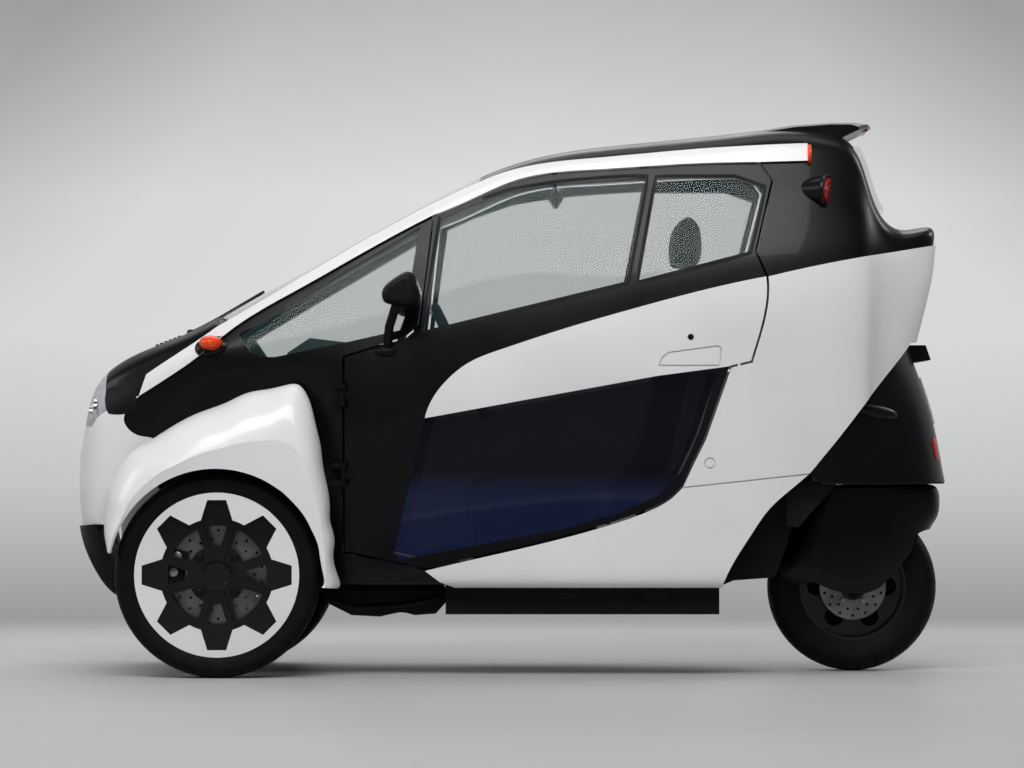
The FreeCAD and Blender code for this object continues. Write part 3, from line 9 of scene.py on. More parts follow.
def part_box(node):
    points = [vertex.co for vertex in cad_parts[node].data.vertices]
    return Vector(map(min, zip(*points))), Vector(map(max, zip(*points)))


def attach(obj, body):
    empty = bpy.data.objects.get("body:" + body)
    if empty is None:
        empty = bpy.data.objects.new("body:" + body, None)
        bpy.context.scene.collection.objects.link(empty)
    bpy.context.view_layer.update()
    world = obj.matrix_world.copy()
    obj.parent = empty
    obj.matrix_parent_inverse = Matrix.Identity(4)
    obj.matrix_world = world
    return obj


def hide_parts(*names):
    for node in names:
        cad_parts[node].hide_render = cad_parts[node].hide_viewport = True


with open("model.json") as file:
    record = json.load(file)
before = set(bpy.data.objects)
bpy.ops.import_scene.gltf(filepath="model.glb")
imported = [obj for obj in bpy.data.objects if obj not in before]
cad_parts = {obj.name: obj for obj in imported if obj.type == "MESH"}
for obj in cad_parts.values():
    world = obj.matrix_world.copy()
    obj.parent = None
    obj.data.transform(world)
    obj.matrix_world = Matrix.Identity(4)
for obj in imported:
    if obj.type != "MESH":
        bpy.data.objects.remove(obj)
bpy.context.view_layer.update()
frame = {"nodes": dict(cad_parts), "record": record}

bl_info = {
    "name": "Three wheeled car looks",
    "version": (1, 1, 0),
    "blender": (4, 5, 0),
    "location": "3D View > Sidebar > Car",
    "description": "Materials, details, stage and camera for the three wheeled car",
    "category": "Object",
}

NODES = frame["nodes"]
AHEAD = Vector((1, 0, 0))
UP = Vector((0, 0, 1))
SIDES = (("left", 1), ("right", -1))


def middle(node):
    """The middle of a CAD node's box."""
    low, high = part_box(node)
    return (Vector(low) + Vector(high)) / 2


REAR_AXLE = middle("rear_tyre")


def srgb(text):
    """Linear colour with alpha from a hex string."""
    values = []
    for i in (0, 2, 4):
        c = int(text[i:i + 2], 16) / 255
        values.append(c / 12.92 if c <= 0.04045 else ((c + 0.055) / 1.055) ** 2.4)
    return (*values, 1.0)


class Graph:
    """Adds and links the nodes of one material."""

    def __init__(self, name):
        self.material = bpy.data.materials.new(name)
        self.material.use_nodes = True
        self.tree = self.material.node_tree
        self.tree.nodes.clear()
        self.shader = self.add("ShaderNodeBsdfPrincipled")
        self.output = self.add("ShaderNodeOutputMaterial")
        self.link(self.shader.outputs["BSDF"], self.output.inputs["Surface"])
        self.coordinates = self.add("ShaderNodeTexCoord").outputs["Object"]

    def add(self, kind, **settings):
        node = self.tree.nodes.new(kind)
        for key, value in settings.items():
            if key in node.inputs:
                node.inputs[key].default_value = value
            else:
                setattr(node, key, value)
        return node

    def link(self, out, into):
        self.tree.links.new(out, into)

    def set(self, **values):
        for key, value in values.items():
            self.shader.inputs[key.replace("_", " ")].default_value = value

    def noise(self, scale, detail=3.0, roughness=0.5):
        node = self.add("ShaderNodeTexNoise", Scale=scale, Detail=detail, Roughness=roughness)
        self.link(self.coordinates, node.inputs["Vector"])
        return node.outputs["Fac"]

    def wave(self, scale, direction, distortion=0.0):
        node = self.add("ShaderNodeTexWave", bands_direction=direction, Scale=scale, Distortion=distortion)
        self.link(self.coordinates, node.inputs["Vector"])
        return node.outputs["Fac"]

    def axis(self, name):
        node = self.add("ShaderNodeSeparateXYZ")
        self.link(self.coordinates, node.inputs["Vector"])
        return node.outputs[name]

    def math(self, operation, a, b=0.0):
        node = self.add("ShaderNodeMath", operation=operation)
        for socket, value in zip(node.inputs, (a, b)):
            if isinstance(value, (int, float)):
                socket.default_value = value
            else:
                self.link(value, socket)
        return node.outputs[0]

    def spread(self, value, low, high):
        """The value's place between low and high, held within 0 and 1."""
        node = self.add("ShaderNodeMapRange")
        node.inputs["From Min"].default_value = low
        node.inputs["From Max"].default_value = high
        self.link(value, node.inputs["Value"])
        return node.outputs["Result"]

    def ramp(self, value, stops):
        node = self.add("ShaderNodeValToRGB")
        elements = node.color_ramp.elements
        while len(elements) < len(stops):
            elements.new(0.5)
        for element, (position, colour) in zip(elements, stops):
            element.position = position
            element.color = colour
        self.link(value, node.inputs["Fac"])
        return node.outputs["Color"]

    def bump(self, value, distance, strength=1.0):
        node = self.add("ShaderNodeBump")
        node.inputs["Distance"].default_value = distance
        node.inputs["Strength"].default_value = strength
        self.link(value, node.inputs["Height"])
        self.link(node.outputs["Normal"], self.shader.inputs["Normal"])

    def colour(self, value, a, b):
        self.link(self.ramp(value, ((0.35, a), (0.65, b))), self.shader.inputs["Base Color"])

    def shine(self, value, low, high):
        stops = ((0.3, grey(low)), (0.7, grey(high)))
        self.link(self.ramp(value, stops), self.shader.inputs["Roughness"])


def grey(value):
    return (value, value, value, 1.0)


def painted(name, colour, darker, roughness, coat, level=0.5):
    """Sprayed enamel: a slow drift of tone, a little orange peel and a clear coat over it."""
    g = Graph(name)
    g.colour(g.noise(3.0), colour, darker)
    g.shine(g.noise(9.0), roughness, roughness * 1.25)
    g.set(Coat_Weight=coat, Coat_Roughness=0.06, Specular_IOR_Level=level)
    g.bump(g.noise(420.0, 1.0), 0.00002, 0.35)
    return g.material


def moulded(name, colour, darker, roughness, scale, depth, level=0.5):
    """Moulded plastic or rubber: grain about 1/scale metres wide, and dust that dulls it in places."""
    g = Graph(name)
    g.colour(g.noise(scale / 40), colour, darker)
    g.shine(g.noise(scale / 60), roughness, min(1, roughness * 1.25))
    g.set(Specular_IOR_Level=level)
    g.bump(g.noise(scale, 4.0), depth, 0.6)
    return g.material


def metal(name, colour, darker, roughness):
    """Turned or cast metal: fine rings of the tool or a grain, and a tone that drifts."""
    g = Graph(name)
    g.colour(g.noise(14.0), colour, darker)
    g.shine(g.noise(260.0), roughness, roughness * 1.4)
    g.set(Metallic=1.0)
    g.bump(g.noise(900.0, 2.0), 0.00003, 0.4)
    return g.material


def glazed(name, colour, lighter, roughness, alpha, level):
    """A pane or lens seen through, its tint a little lighter towards the bottom."""
    g = Graph(name)
    g.colour(g.spread(g.axis("Z"), 0.62, 0.40), colour, lighter)
    g.set(Roughness=roughness, IOR=1.45, Alpha=alpha, Specular_IOR_Level=level)
    return g.material


def lens(name, colour, darker, alpha):
    """Moulded acrylic lens: upright flutes 4 mm apart behind a smooth face."""
    g = Graph(name)
    flutes = g.wave(80.0, "Y")
    g.colour(flutes, colour, darker)
    g.shine(g.noise(60.0), 0.08, 0.14)
    g.set(IOR=1.49, Alpha=alpha)
    g.bump(flutes, 0.0006, 0.5)
    return g.material


def cloth(name, colour, darker):
    """Woven polyester: threads 2 mm apart, drawn coarse enough to show, matt with a faint sheen."""
    g = Graph(name)
    weave = g.math("MULTIPLY", g.wave(160.0, "X", 0.4), g.wave(160.0, "Y", 0.4))
    g.colour(weave, darker, colour)
    g.shine(g.noise(40.0), 0.8, 0.95)
    g.set(Sheen_Weight=0.25)
    g.bump(weave, 0.0005, 0.7)
    return g.material


MATERIALS = {}


def make_materials(look):
    white, black, tint = tuple(look.white), tuple(look.black), tuple(look.smoked)
    soft = tuple(0.93 * v for v in white[:3]) + (1.0,)
    MATERIALS.update({
        # enamel over moulded panels: bright, with soft reflections
        "white": painted("white_enamel", white, soft, 0.34, 0.35),
        # satin polypropylene shell: deep black that only lights up on its shoulders
        "black": painted("satin_black_shell", black, srgb("08080b"), 0.3, 0.08, 0.17),
        # unpainted moulded plastic: matt, with a visible grain
        "trim": moulded("black_moulded_trim", srgb("0b0b0d"), srgb("050506"), 0.45, 900.0, 0.0001, 0.17),
        # powder coated steel: flat, slightly rough
        "chassis": moulded("powder_coated_steel", srgb("0b0b0c"), srgb("050506"), 0.5, 600.0, 0.0001, 0.17),
        # painted cast aluminium: black with a soft gloss along the ribs
        "wheel": painted("painted_cast_aluminium", srgb("0a0a0c"), srgb("050506"), 0.24, 0.25, 0.3),
        # tyre rubber: dark grey, dull
        "tyre": moulded("tyre_rubber", srgb("0d0d0f"), srgb("08080a"), 0.5, 700.0, 0.0001, 0.12),
        # ground steel: mid grey rings
        "disc": metal("ground_steel_disc", srgb("8f9194"), srgb("6d6f72"), 0.32),
        # zinc plated fasteners
        "zinc": metal("zinc_plated_steel", srgb("b9bcbf"), srgb("8c8f92"), 0.3),
        # black oxide fasteners
        "bolt": metal("black_oxide_steel", srgb("2a2b2e"), srgb("1b1c1e"), 0.35),
        # vacuum plated reflector: mirror bright
        "chrome": metal("plated_reflector", srgb("e6e8ea"), srgb("d4d7da"), 0.06),
        "mirror": metal("silvered_glass", srgb("dfe5e8"), srgb("d6dce0"), 0.02),
        "glass": glazed("tinted_window_glass", tuple(look.glass), tuple(look.glass), 0.02, 0.15, 0.5),
        "smoked": glazed("smoked_polycarbonate", tint, srgb("1c2342"), 0.05, 0.76, 0.25),
        "orange": lens("orange_acrylic", srgb("ff5410"), srgb("e23c06"), 0.9),
        "red": lens("red_acrylic", srgb("c8140e"), srgb("9c0a08"), 0.9),
        "clear": glazed("clear_polycarbonate", srgb("dfe5ea"), srgb("dfe5ea"), 0.04, 0.32, 0.6),
        "seat": cloth("woven_seat_cloth", srgb("17171a"), srgb("09090b")),
        "vinyl": moulded("seat_vinyl", srgb("1a1a1d"), srgb("101012"), 0.45, 500.0, 0.0002, 0.4),
        "dash": moulded("soft_dash_skin", srgb("161618"), srgb("0c0c0d"), 0.6, 800.0, 0.0002, 0.35),
        "screen": painted("display_glass", srgb("05070a"), srgb("030405"), 0.05, 0.5),
        "plate": painted("blank_plate", srgb("d9dadb"), srgb("cfd0d1"), 0.4, 0.2),
        "rubber": moulded("seal_rubber", srgb("0a0a0b"), srgb("060606"), 0.6, 500.0, 0.0001, 0.3),
    })


SLOT_LOOKS = {
    "white_paint": "white",
    "black_shell": "black",
    "black_trim": "trim",
    "chassis": "chassis",
    "wheel_black": "wheel",
    "tyre": "tyre",
    "disc": "disc",
    "glass": "glass",
    "smoked_glass": "smoked",
    "lamp_orange": "orange",
    "lamp_red": "red",
    "lamp_clear": "clear",
    "seat": "seat",
    "dash": "dash",
}


# Pieces
SHARP_EDGE = math.radians(38)


def add_piece(name, shape, body, finish, replaces=()):
    """Turns a bmesh or mesh into a piece with its finish, which rides on a body."""
    if isinstance(shape, bmesh.types.BMesh):
        bm = shape
    else:
        bm = bmesh.new()
        bm.from_mesh(shape)
    bmesh.ops.remove_doubles(bm, verts=bm.verts, dist=1e-5)
    bmesh.ops.recalc_face_normals(bm, faces=bm.faces)
    for face in bm.faces:
        face.smooth = True
    for edge in bm.edges:
        if len(edge.link_faces) == 2 and edge.calc_face_angle(0) > SHARP_EDGE:
            edge.smooth = False
    mesh = bpy.data.meshes.new(name)
    bm.to_mesh(mesh)
    bm.free()
    mesh.materials.append(MATERIALS[finish])
    piece = bpy.data.objects.new(name, mesh)
    bpy.context.scene.collection.objects.link(piece)
    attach(piece, body)
    if replaces:
        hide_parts(*replaces)
    return piece


def lathe(bm, outline, centre, steps, direction=(0, 1, 0)):
    """Turns a closed outline of (radius, distance along the axis) points about the axis."""
    axis = Vector(direction).normalized()
    first = axis.orthogonal().normalized() if abs(axis.y) < 0.99 else Vector((0, 0, 1))
    second = axis.cross(first)
    rings = []
    for i in range(steps):
        turn = 2 * math.pi * i / steps
        out = first * math.cos(turn) + second * math.sin(turn)
        rings.append([bm.verts.new(Vector(centre) + out * r + axis * y) for r, y in outline])
    for a, b in zip(rings, rings[1:] + rings[:1]):
        for j in range(len(outline)):
            k = (j + 1) % len(outline)
            if outline[j][0] or outline[k][0]:
                bm.faces.new((a[j], a[k], b[k], b[j]))
    return bm


def tube(bm, points, radius, sides=8, closed=False):
    """A round bar along points; closed joins its ends."""
    points = [Vector(p) for p in points]
    count = len(points)
    normal = None
    rings = []
    for i, p in enumerate(points):
        before = points[i - 1] if (i or closed) else p
        after = points[(i + 1) % count] if (i < count - 1 or closed) else p
        ahead = (after - before).normalized()
        normal = ahead.orthogonal() if normal is None else normal - ahead * normal.dot(ahead)
        normal.normalize()
        side = ahead.cross(normal)
        turns = [2 * math.pi * k / sides for k in range(sides)]
        rings.append([bm.verts.new(p + (normal * math.cos(t) + side * math.sin(t)) * radius) for t in turns])
    pairs = list(zip(rings, rings[1:]))
    if closed:
        pairs.append((rings[-1], rings[0]))
    for a, b in pairs:
        for k in range(sides):
            bm.faces.new((a[k], a[(k + 1) % sides], b[(k + 1) % sides], b[k]))
    if not closed:
        bm.faces.new(rings[0])
        bm.faces.new(list(reversed(rings[-1])))
    return bm


def slab(bm, low, high, bevel, turn=None):
    """A box with rounded edges, turned about its middle if a matrix is given."""
    low, high = Vector(low), Vector(high)
    made = bmesh.ops.create_cube(bm, size=1)["verts"]
    size = high - low
    for v in made:
        v.co = Vector((v.co.x * size.x, v.co.y * size.y, v.co.z * size.z))
    edges = list({e for v in made for e in v.link_edges})
    made = bmesh.ops.bevel(bm, geom=edges, offset=bevel, segments=2, affect="EDGES", profile=0.5)
    verts = list({v for f in made["faces"] for v in f.verts})
    for v in verts:
        v.co = (turn @ v.co if turn else v.co) + (low + high) / 2
    return bm


def plate(bm, outline, y0, y1, bevel=0.0):
    """A side outline of (x, z) points drawn out from y0 to y1."""
    near = [bm.verts.new((x, y0, z)) for x, z in outline]
    far = [bm.verts.new((x, y1, z)) for x, z in outline]
    faces = [bm.faces.new(near), bm.faces.new(list(reversed(far)))]
    for i in range(len(outline)):
        k = (i + 1) % len(outline)
        bm.faces.new((near[i], near[k], far[k], far[i]))
    if bevel:
        edges = list({e for f in faces for e in f.edges})
        bmesh.ops.bevel(bm, geom=edges, offset=bevel, segments=2, affect="EDGES", profile=0.5)
    return bm


def hit(nodes, start, toward):
    """The first point and normal where a ray meets one of the CAD pieces, or None."""
    best = None
    for node in nodes:
        found, point, normal, _ = NODES[node].ray_cast(start, toward)
        if found and (best is None or (point - start).length < (best[0] - start).length):
            best = (point, normal if normal.dot(toward) < 0 else -normal)
    return best


def surface(nodes, start, toward):
    """The point that hit finds. It raises where there is none, so that no piece is left out unseen."""
    met = hit(nodes, start, toward)
    if met is None:
        raise RuntimeError("no surface of %s beyond %s" % (nodes, tuple(start)))
    return met[0]


def patch(bm, nodes, centre, across, up, size, round_share, toward, lift, dome=0.0, sunk=0.003, cells=14):
    """A thin rounded panel that follows the CAD surface it lies on, swelling by dome in its middle."""
    toward = Vector(toward).normalized()
    across = Vector(across).normalized()
    up = Vector(up).normalized()
    tops, bottoms = [], []
    last = hit(nodes, Vector(centre) - toward * 0.5, toward)
    if last is None:
        raise RuntimeError("no surface under the middle of a panel at " + str(tuple(centre)))
    for i in range(cells + 1):
        for j in range(cells + 1):
            a, b = 2 * i / cells - 1, 2 * j / cells - 1
            u = a * math.sqrt(1 - round_share * b * b / 2)
            v = b * math.sqrt(1 - round_share * a * a / 2)
            start = Vector(centre) + across * (u * size[0] / 2) + up * (v * size[1] / 2) - toward * 0.5
            last = hit(nodes, start, toward) or last
            point, normal = last
            point = start + toward * (point - start).dot(toward)
            swell = lift + dome * max(0.0, (1 - a * a) * (1 - b * b)) ** 0.5
            tops.append(bm.verts.new(point + normal * swell))
            bottoms.append(bm.verts.new(point - normal * sunk))
    row = cells + 1

    def skin(verts, flip):
        for i in range(cells):
            for j in range(cells):
                quad = [verts[i * row + j], verts[(i + 1) * row + j], verts[(i + 1) * row + j + 1],
                        verts[i * row + j + 1]]
                bm.faces.new(quad[::-1] if flip else quad)

    skin(tops, False)
    skin(bottoms, True)
    rim = [i * row for i in range(row)] + [cells * row + j for j in range(1, row)]
    rim += [i * row + cells for i in range(cells - 1, -1, -1)] + [j for j in range(cells - 1, 0, -1)]
    for a, b in zip(rim, rim[1:] + rim[:1]):
        bm.faces.new((tops[a], tops[b], bottoms[b], bottoms[a]))
    return bm


class Tree:
    """Builds one Geometry Nodes tree with named inputs, which ends in Realize Instances and Set Material."""

    def __init__(self, name, **inputs):
        self.tree = bpy.data.node_groups.new(name, "GeometryNodeTree")
        self.tree.interface.new_socket("Geometry", in_out="INPUT", socket_type="NodeSocketGeometry")
        for key, (kind, value) in inputs.items():
            socket = self.tree.interface.new_socket(key.replace("_", " "), in_out="INPUT",
                                                    socket_type="NodeSocket" + kind)
            if value is not None:
                socket.default_value = value
        self.tree.interface.new_socket("Geometry", in_out="OUTPUT", socket_type="NodeSocketGeometry")
        self.inputs = self.tree.nodes.new("NodeGroupInput").outputs

    def add(self, kind, links=(), **settings):
        node = self.tree.nodes.new(kind)
        for key, value in settings.items():
            setattr(node, key, value)
        for key, value in links:
            socket = node.inputs[key]
            if hasattr(value, "is_linked"):
                self.tree.links.new(value, socket)
            else:
                socket.default_value = value
        return node.outputs

    def finish(self, geometry):
        real = self.add("GeometryNodeRealizeInstances", [("Geometry", geometry)])["Geometry"]
        merged = self.add("GeometryNodeMergeByDistance", [("Geometry", real), ("Distance", 1e-5)])["Geometry"]
        done = self.add("GeometryNodeSetMaterial", [("Geometry", merged),
                                                    ("Material", self.inputs["Finish"])])
        end = self.tree.nodes.new("NodeGroupOutput")
        self.tree.links.new(done["Geometry"], end.inputs["Geometry"])
        return self.tree


def grown(tree, bm, finish, **values):
    """The plain mesh that a tree makes of a bmesh, its inputs set before it is first evaluated."""
    mesh = bpy.data.meshes.new("seed")
    if bm:
        bm.to_mesh(mesh)
        bm.free()
    seed = bpy.data.objects.new("seed", mesh)
    bpy.context.scene.collection.objects.link(seed)
    modifier = seed.modifiers.new("grown", "NODES")
    modifier.node_group = tree
    values["Finish"] = MATERIALS[finish]
    for item in tree.interface.items_tree:
        if item.item_type == "SOCKET" and item.in_out == "INPUT" and item.name.replace(" ", "_") in values:
            modifier[item.identifier] = values[item.name.replace(" ", "_")]
    result = bpy.data.meshes.new_from_object(seed.evaluated_get(bpy.context.evaluated_depsgraph_get()))
    seed.modifiers.remove(modifier)
    bpy.data.objects.remove(seed)
    result.materials.clear()
    return result


def turning_tree():
    """Repeats a piece about an axle that lies along Y."""
    t = Tree("around_axle", Count=("Int", 8), Start=("Float", 0.0), Axle=("Vector", (0, 0, 0)),
             Finish=("Material", None))
    line = t.add("GeometryNodeMeshLine", [("Count", t.inputs["Count"]), ("Start Location", t.inputs["Axle"]),
                                          ("Offset", (0, 0, 0))])
    index = t.add("GeometryNodeInputIndex")["Index"]
    part = t.add("ShaderNodeMath", [(0, index), (1, t.inputs["Count"])], operation="DIVIDE")[0]
    turn = t.add("ShaderNodeMath", [(0, part), (1, 2 * math.pi), (2, t.inputs["Start"])],
                 operation="MULTIPLY_ADD")[0]
    angle = t.add("ShaderNodeCombineXYZ", [("Y", turn)])["Vector"]
    spread = t.add("GeometryNodeInstanceOnPoints", [("Points", line["Mesh"]),
                                                    ("Instance", t.inputs["Geometry"]), ("Rotation", angle)])
    return t.finish(spread["Instances"])


def row_tree():
    """Repeats a piece along a straight line."""
    t = Tree("in_a_row", Count=("Int", 3), First=("Vector", (0, 0, 0)), Step=("Vector", (0, 0, 0)),
             Finish=("Material", None))
    line = t.add("GeometryNodeMeshLine", [("Count", t.inputs["Count"]),
                                          ("Start Location", t.inputs["First"]), ("Offset",
                                                  t.inputs["Step"])])
    spread = t.add("GeometryNodeInstanceOnPoints", [("Points", line["Mesh"]),
                                                    ("Instance", t.inputs["Geometry"])])
    return t.finish(spread["Instances"])


def disc_tree():
    """A flat ring with two circles of drilled holes, its axle along Y."""
    t = Tree("drilled_disc", Outer=("Float", 0.13), Inner=("Float", 0.05), Thickness=("Float", 0.005),
             Hole=("Float", 0.004),
             Holes=("Int", 16), Near=("Float", 0.08), Far=("Float", 0.11), Axle=("Vector", (0, 0,
                     0)), Finish=("Material", None))
    rings = []
    for key, steps in (("Outer", 96), ("Inner", 64)):
        rings.append(t.add("GeometryNodeCurvePrimitiveCircle", [("Resolution", steps),
                                                                ("Radius", t.inputs[key])])["Curve"])
    hole = t.add("GeometryNodeCurvePrimitiveCircle", [("Resolution", 12),
                                                      ("Radius", t.inputs["Hole"])])["Curve"]
    for key, ahead in (("Near", 0.0), ("Far", 0.5)):
        ring = t.add("GeometryNodeMeshCircle", [("Vertices", t.inputs["Holes"]),
                                                ("Radius", t.inputs[key])])["Mesh"]
        slot_turn = t.add("ShaderNodeMath", [(0, 2 * math.pi * ahead), (1, t.inputs["Holes"])],
                          operation="DIVIDE")[0]
        angle = t.add("ShaderNodeCombineXYZ", [("Z", slot_turn)])["Vector"]
        ring = t.add("GeometryNodeTransform", [("Geometry", ring), ("Rotation", angle)])["Geometry"]
        spread = t.add("GeometryNodeInstanceOnPoints", [("Points", ring), ("Instance", hole)])["Instances"]
        rings.append(t.add("GeometryNodeRealizeInstances", [("Geometry", spread)])["Geometry"])
    joint = t.tree.nodes.new("GeometryNodeJoinGeometry")
    for ring in rings:
        t.tree.links.new(ring, joint.inputs["Geometry"])
    face = t.add("GeometryNodeFillCurve", [("Curve", joint.outputs["Geometry"])], )["Mesh"]
    rise = t.add("ShaderNodeCombineXYZ", [("Z", t.inputs["Thickness"])])["Vector"]
    raised = t.add("GeometryNodeExtrudeMesh", [("Mesh", face), ("Offset", rise),
                                               ("Individual", False)])["Mesh"]
    below = t.add("GeometryNodeFlipFaces", [("Mesh", face)])["Mesh"]
    whole = t.tree.nodes.new("GeometryNodeJoinGeometry")
    for half in (raised, below):
        t.tree.links.new(half, whole.inputs["Geometry"])
    upright = t.add("GeometryNodeTransform", [("Geometry", whole.outputs["Geometry"]),
                                              ("Translation", t.inputs["Axle"]),
                                              ("Rotation", (-math.pi / 2, 0, 0))])["Geometry"]
    return t.finish(upright)


def spring_tree():
    """A coil spring standing on its foot."""
    t = Tree("coil_spring", Radius=("Float", 0.02), Wire=("Float", 0.004), Turns=("Float", 6.0),
             Height=("Float", 0.2),
             Foot=("Vector", (0, 0, 0)), Finish=("Material", None))
    coil = t.add("GeometryNodeCurveSpiral", [("Resolution", 20), ("Rotations", t.inputs["Turns"]),
                                             ("Start Radius", t.inputs["Radius"]),
                                            ("End Radius", t.inputs["Radius"]), ("Height",
                                                    t.inputs["Height"])])["Curve"]
    wire = t.add("GeometryNodeCurvePrimitiveCircle", [("Resolution", 8),
                                                      ("Radius", t.inputs["Wire"])])["Curve"]
    solid = t.add("GeometryNodeCurveToMesh", [("Curve", coil), ("Profile Curve", wire),
                                              ("Fill Caps", True)])["Mesh"]
    placed = t.add("GeometryNodeTransform", [("Geometry", solid),
                                             ("Translation", t.inputs["Foot"])])["Geometry"]
    return t.finish(placed)


TREES = {}


def tree(name, make):
    if name not in TREES:
        TREES[name] = make()
    return TREES[name]


# Tyres: share of the height over the rim and of the width, from the crown to the bead
CROWN = ((1.0, 0.0), (0.97, 0.24), (0.86, 0.40), (0.68, 0.485), (0.48, 0.5), (0.2, 0.46), (0.0, 0.42))
TYRE_ROWS = 44
PITCH_COLUMNS = (0.0, 0.05, 0.09, 0.26, 0.44, 0.62, 0.8, 0.96)
GROOVE_ZONE = (0.10, 0.50)
SIDE_RIB = 0.0006


def crown_point(share):
    """The outline's point at a share from one bead, -1, over the crown to the other, 1."""
    full = [(-w, h) for h, w in reversed(CROWN)] + [(w, h) for h, w in CROWN[1:]]
    place = (share + 1) / 2 * (len(full) - 1)
    i = min(int(place), len(full) - 2)
    t = place - i
    p = [Vector(full[min(max(k, 0), len(full) - 1)]) for k in (i - 1, i, i + 1, i + 2)]
    return 0.5 * (2 * p[1] + (p[2] - p[0]) * t + (2 * p[0] - 5 * p[1] + 4 * p[2] - p[3]) * t ** 2
                  + (3 * p[1] - p[0] - 3 * p[2] + p[3]) * t ** 3)


def tyre_pitch(diameter, width, rim, pitches, depth, slant):
    """One pitch of the tread round the axle at the origin: slanting grooves and a centre groove."""
    bm = bmesh.new()
    rows = [-1 + 2 * j / TYRE_ROWS for j in range(TYRE_ROWS + 1)]
    rows = sorted(rows + [-0.02, 0.02, -0.033, 0.033])
    grid = []
    for u in PITCH_COLUMNS + (1.0,):
        column = []
        for s in rows:
            w, h = crown_point(s)
            cut = u <= PITCH_COLUMNS[1] or u == 1.0
            reach = abs(s)
            low = depth if cut and GROOVE_ZONE[0] < reach < GROOVE_ZONE[1] else 0.0
            low = depth if reach < 0.025 else low
            low = -SIDE_RIB if 0.70 < reach < 0.76 else low
            radius = rim / 2 + h * (diameter - rim) / 2 - max(low, 0.0)
            turn = 2 * math.pi / pitches * (u + slant * min(reach, 0.7))
            y = w * width - (math.copysign(low, s) if low < 0 else 0.0)
            column.append(bm.verts.new((radius * math.sin(turn), y, radius * math.cos(turn))))
        grid.append(column)
    for a, b in zip(grid, grid[1:]):
        for j in range(len(rows)):
            k = (j + 1) % len(rows)
            bm.faces.new((a[j], a[k], b[k], b[j]))
    return bm


def box_size(node):
    low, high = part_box(node)
    return tuple(b - a for a, b in zip(low, high))


class CarLook(bpy.types.PropertyGroup):
    """The sizes and colours that a user would change."""

    white: bpy.props.FloatVectorProperty(
        name="White", description="Colour of the white panels",
        subtype="COLOR", size=4, min=0, max=1, default=srgb("e9e9eb"))
    black: bpy.props.FloatVectorProperty(
        name="Black", description="Colour of the black shell",
        subtype="COLOR", size=4, min=0, max=1, default=srgb("0c0c10"))
    glass: bpy.props.FloatVectorProperty(
        name="Glass", description="Tint of the upper windows",
        subtype="COLOR", size=4, min=0, max=1, default=srgb("3f5a5c"))
    smoked: bpy.props.FloatVectorProperty(
        name="Low glass", description="Tint of the low door glass",
        subtype="COLOR", size=4, min=0, max=1, default=srgb("020410"))
    groove: bpy.props.FloatProperty(
        name="Tread depth", description="Depth of the grooves in the tyres",
        unit="LENGTH", default=0.004, min=0.001, max=0.008)
    front_pitches: bpy.props.IntProperty(
        name="Front pitches", description="Tread pitches round a front tyre", default=34, min=12, max=60)
    rear_pitches: bpy.props.IntProperty(
        name="Rear pitches", description="Tread pitches round the rear tyre", default=28, min=12, max=60)
    hole: bpy.props.FloatProperty(
        name="Disc hole", description="Radius of the holes in the brake discs",
        unit="LENGTH", default=0.0038, min=0.001, max=0.006)
    stitch: bpy.props.FloatProperty(
        name="Seam", description="Radius of the seams on the seats",
        unit="LENGTH", default=0.0025, min=0.001, max=0.006)


def look():
    return bpy.context.scene.car_look


class CAR_OT_materials(bpy.types.Operator):
    """Give every CAD piece its material"""

    bl_idname = "car.materials"
    bl_label = "Materials"

    def execute(self, context):
        make_materials(look())
        for part in frame["record"]["subparts"]:
            piece = NODES[part["node"]]
            material = MATERIALS[SLOT_LOOKS[part["material_slot"]]]
            if not piece.material_slots:
                piece.data.materials.append(material)
            for slot in piece.material_slots:
                slot.material = material
        return {"FINISHED"}


FRONT_RIM = 0.434
REAR_RIM = 0.290


class CAR_OT_tyres(bpy.types.Operator):
    """Tyres with a grooved tread in place of the plain ones"""

    bl_idname = "car.tyres"
    bl_label = "Tyres"

    def execute(self, context):
        jobs = [("front_tyre_" + side, "front_" + side + "_wheel", FRONT_RIM, look().front_pitches,
                 1.1) for side, _ in SIDES]
        jobs.append(("rear_tyre", "rear_road_wheel", REAR_RIM, look().rear_pitches, 0.9))
        around = tree("around_axle", turning_tree)
        for node, body, rim, pitches, slant in jobs:
            size = box_size(node)
            pitch = tyre_pitch(size[2], size[1], rim, pitches, look().groove, slant)
            mesh = grown(around, pitch, "tyre", Count=pitches, Axle=tuple(middle(node)))
            add_piece(node + "_tread", mesh, body, "tyre", (node,))
        return {"FINISHED"}


LUG_CIRCLE = 0.066
LUGS = 4
LUG_RADIUS = 0.0105
CAP_RADIUS = 0.041


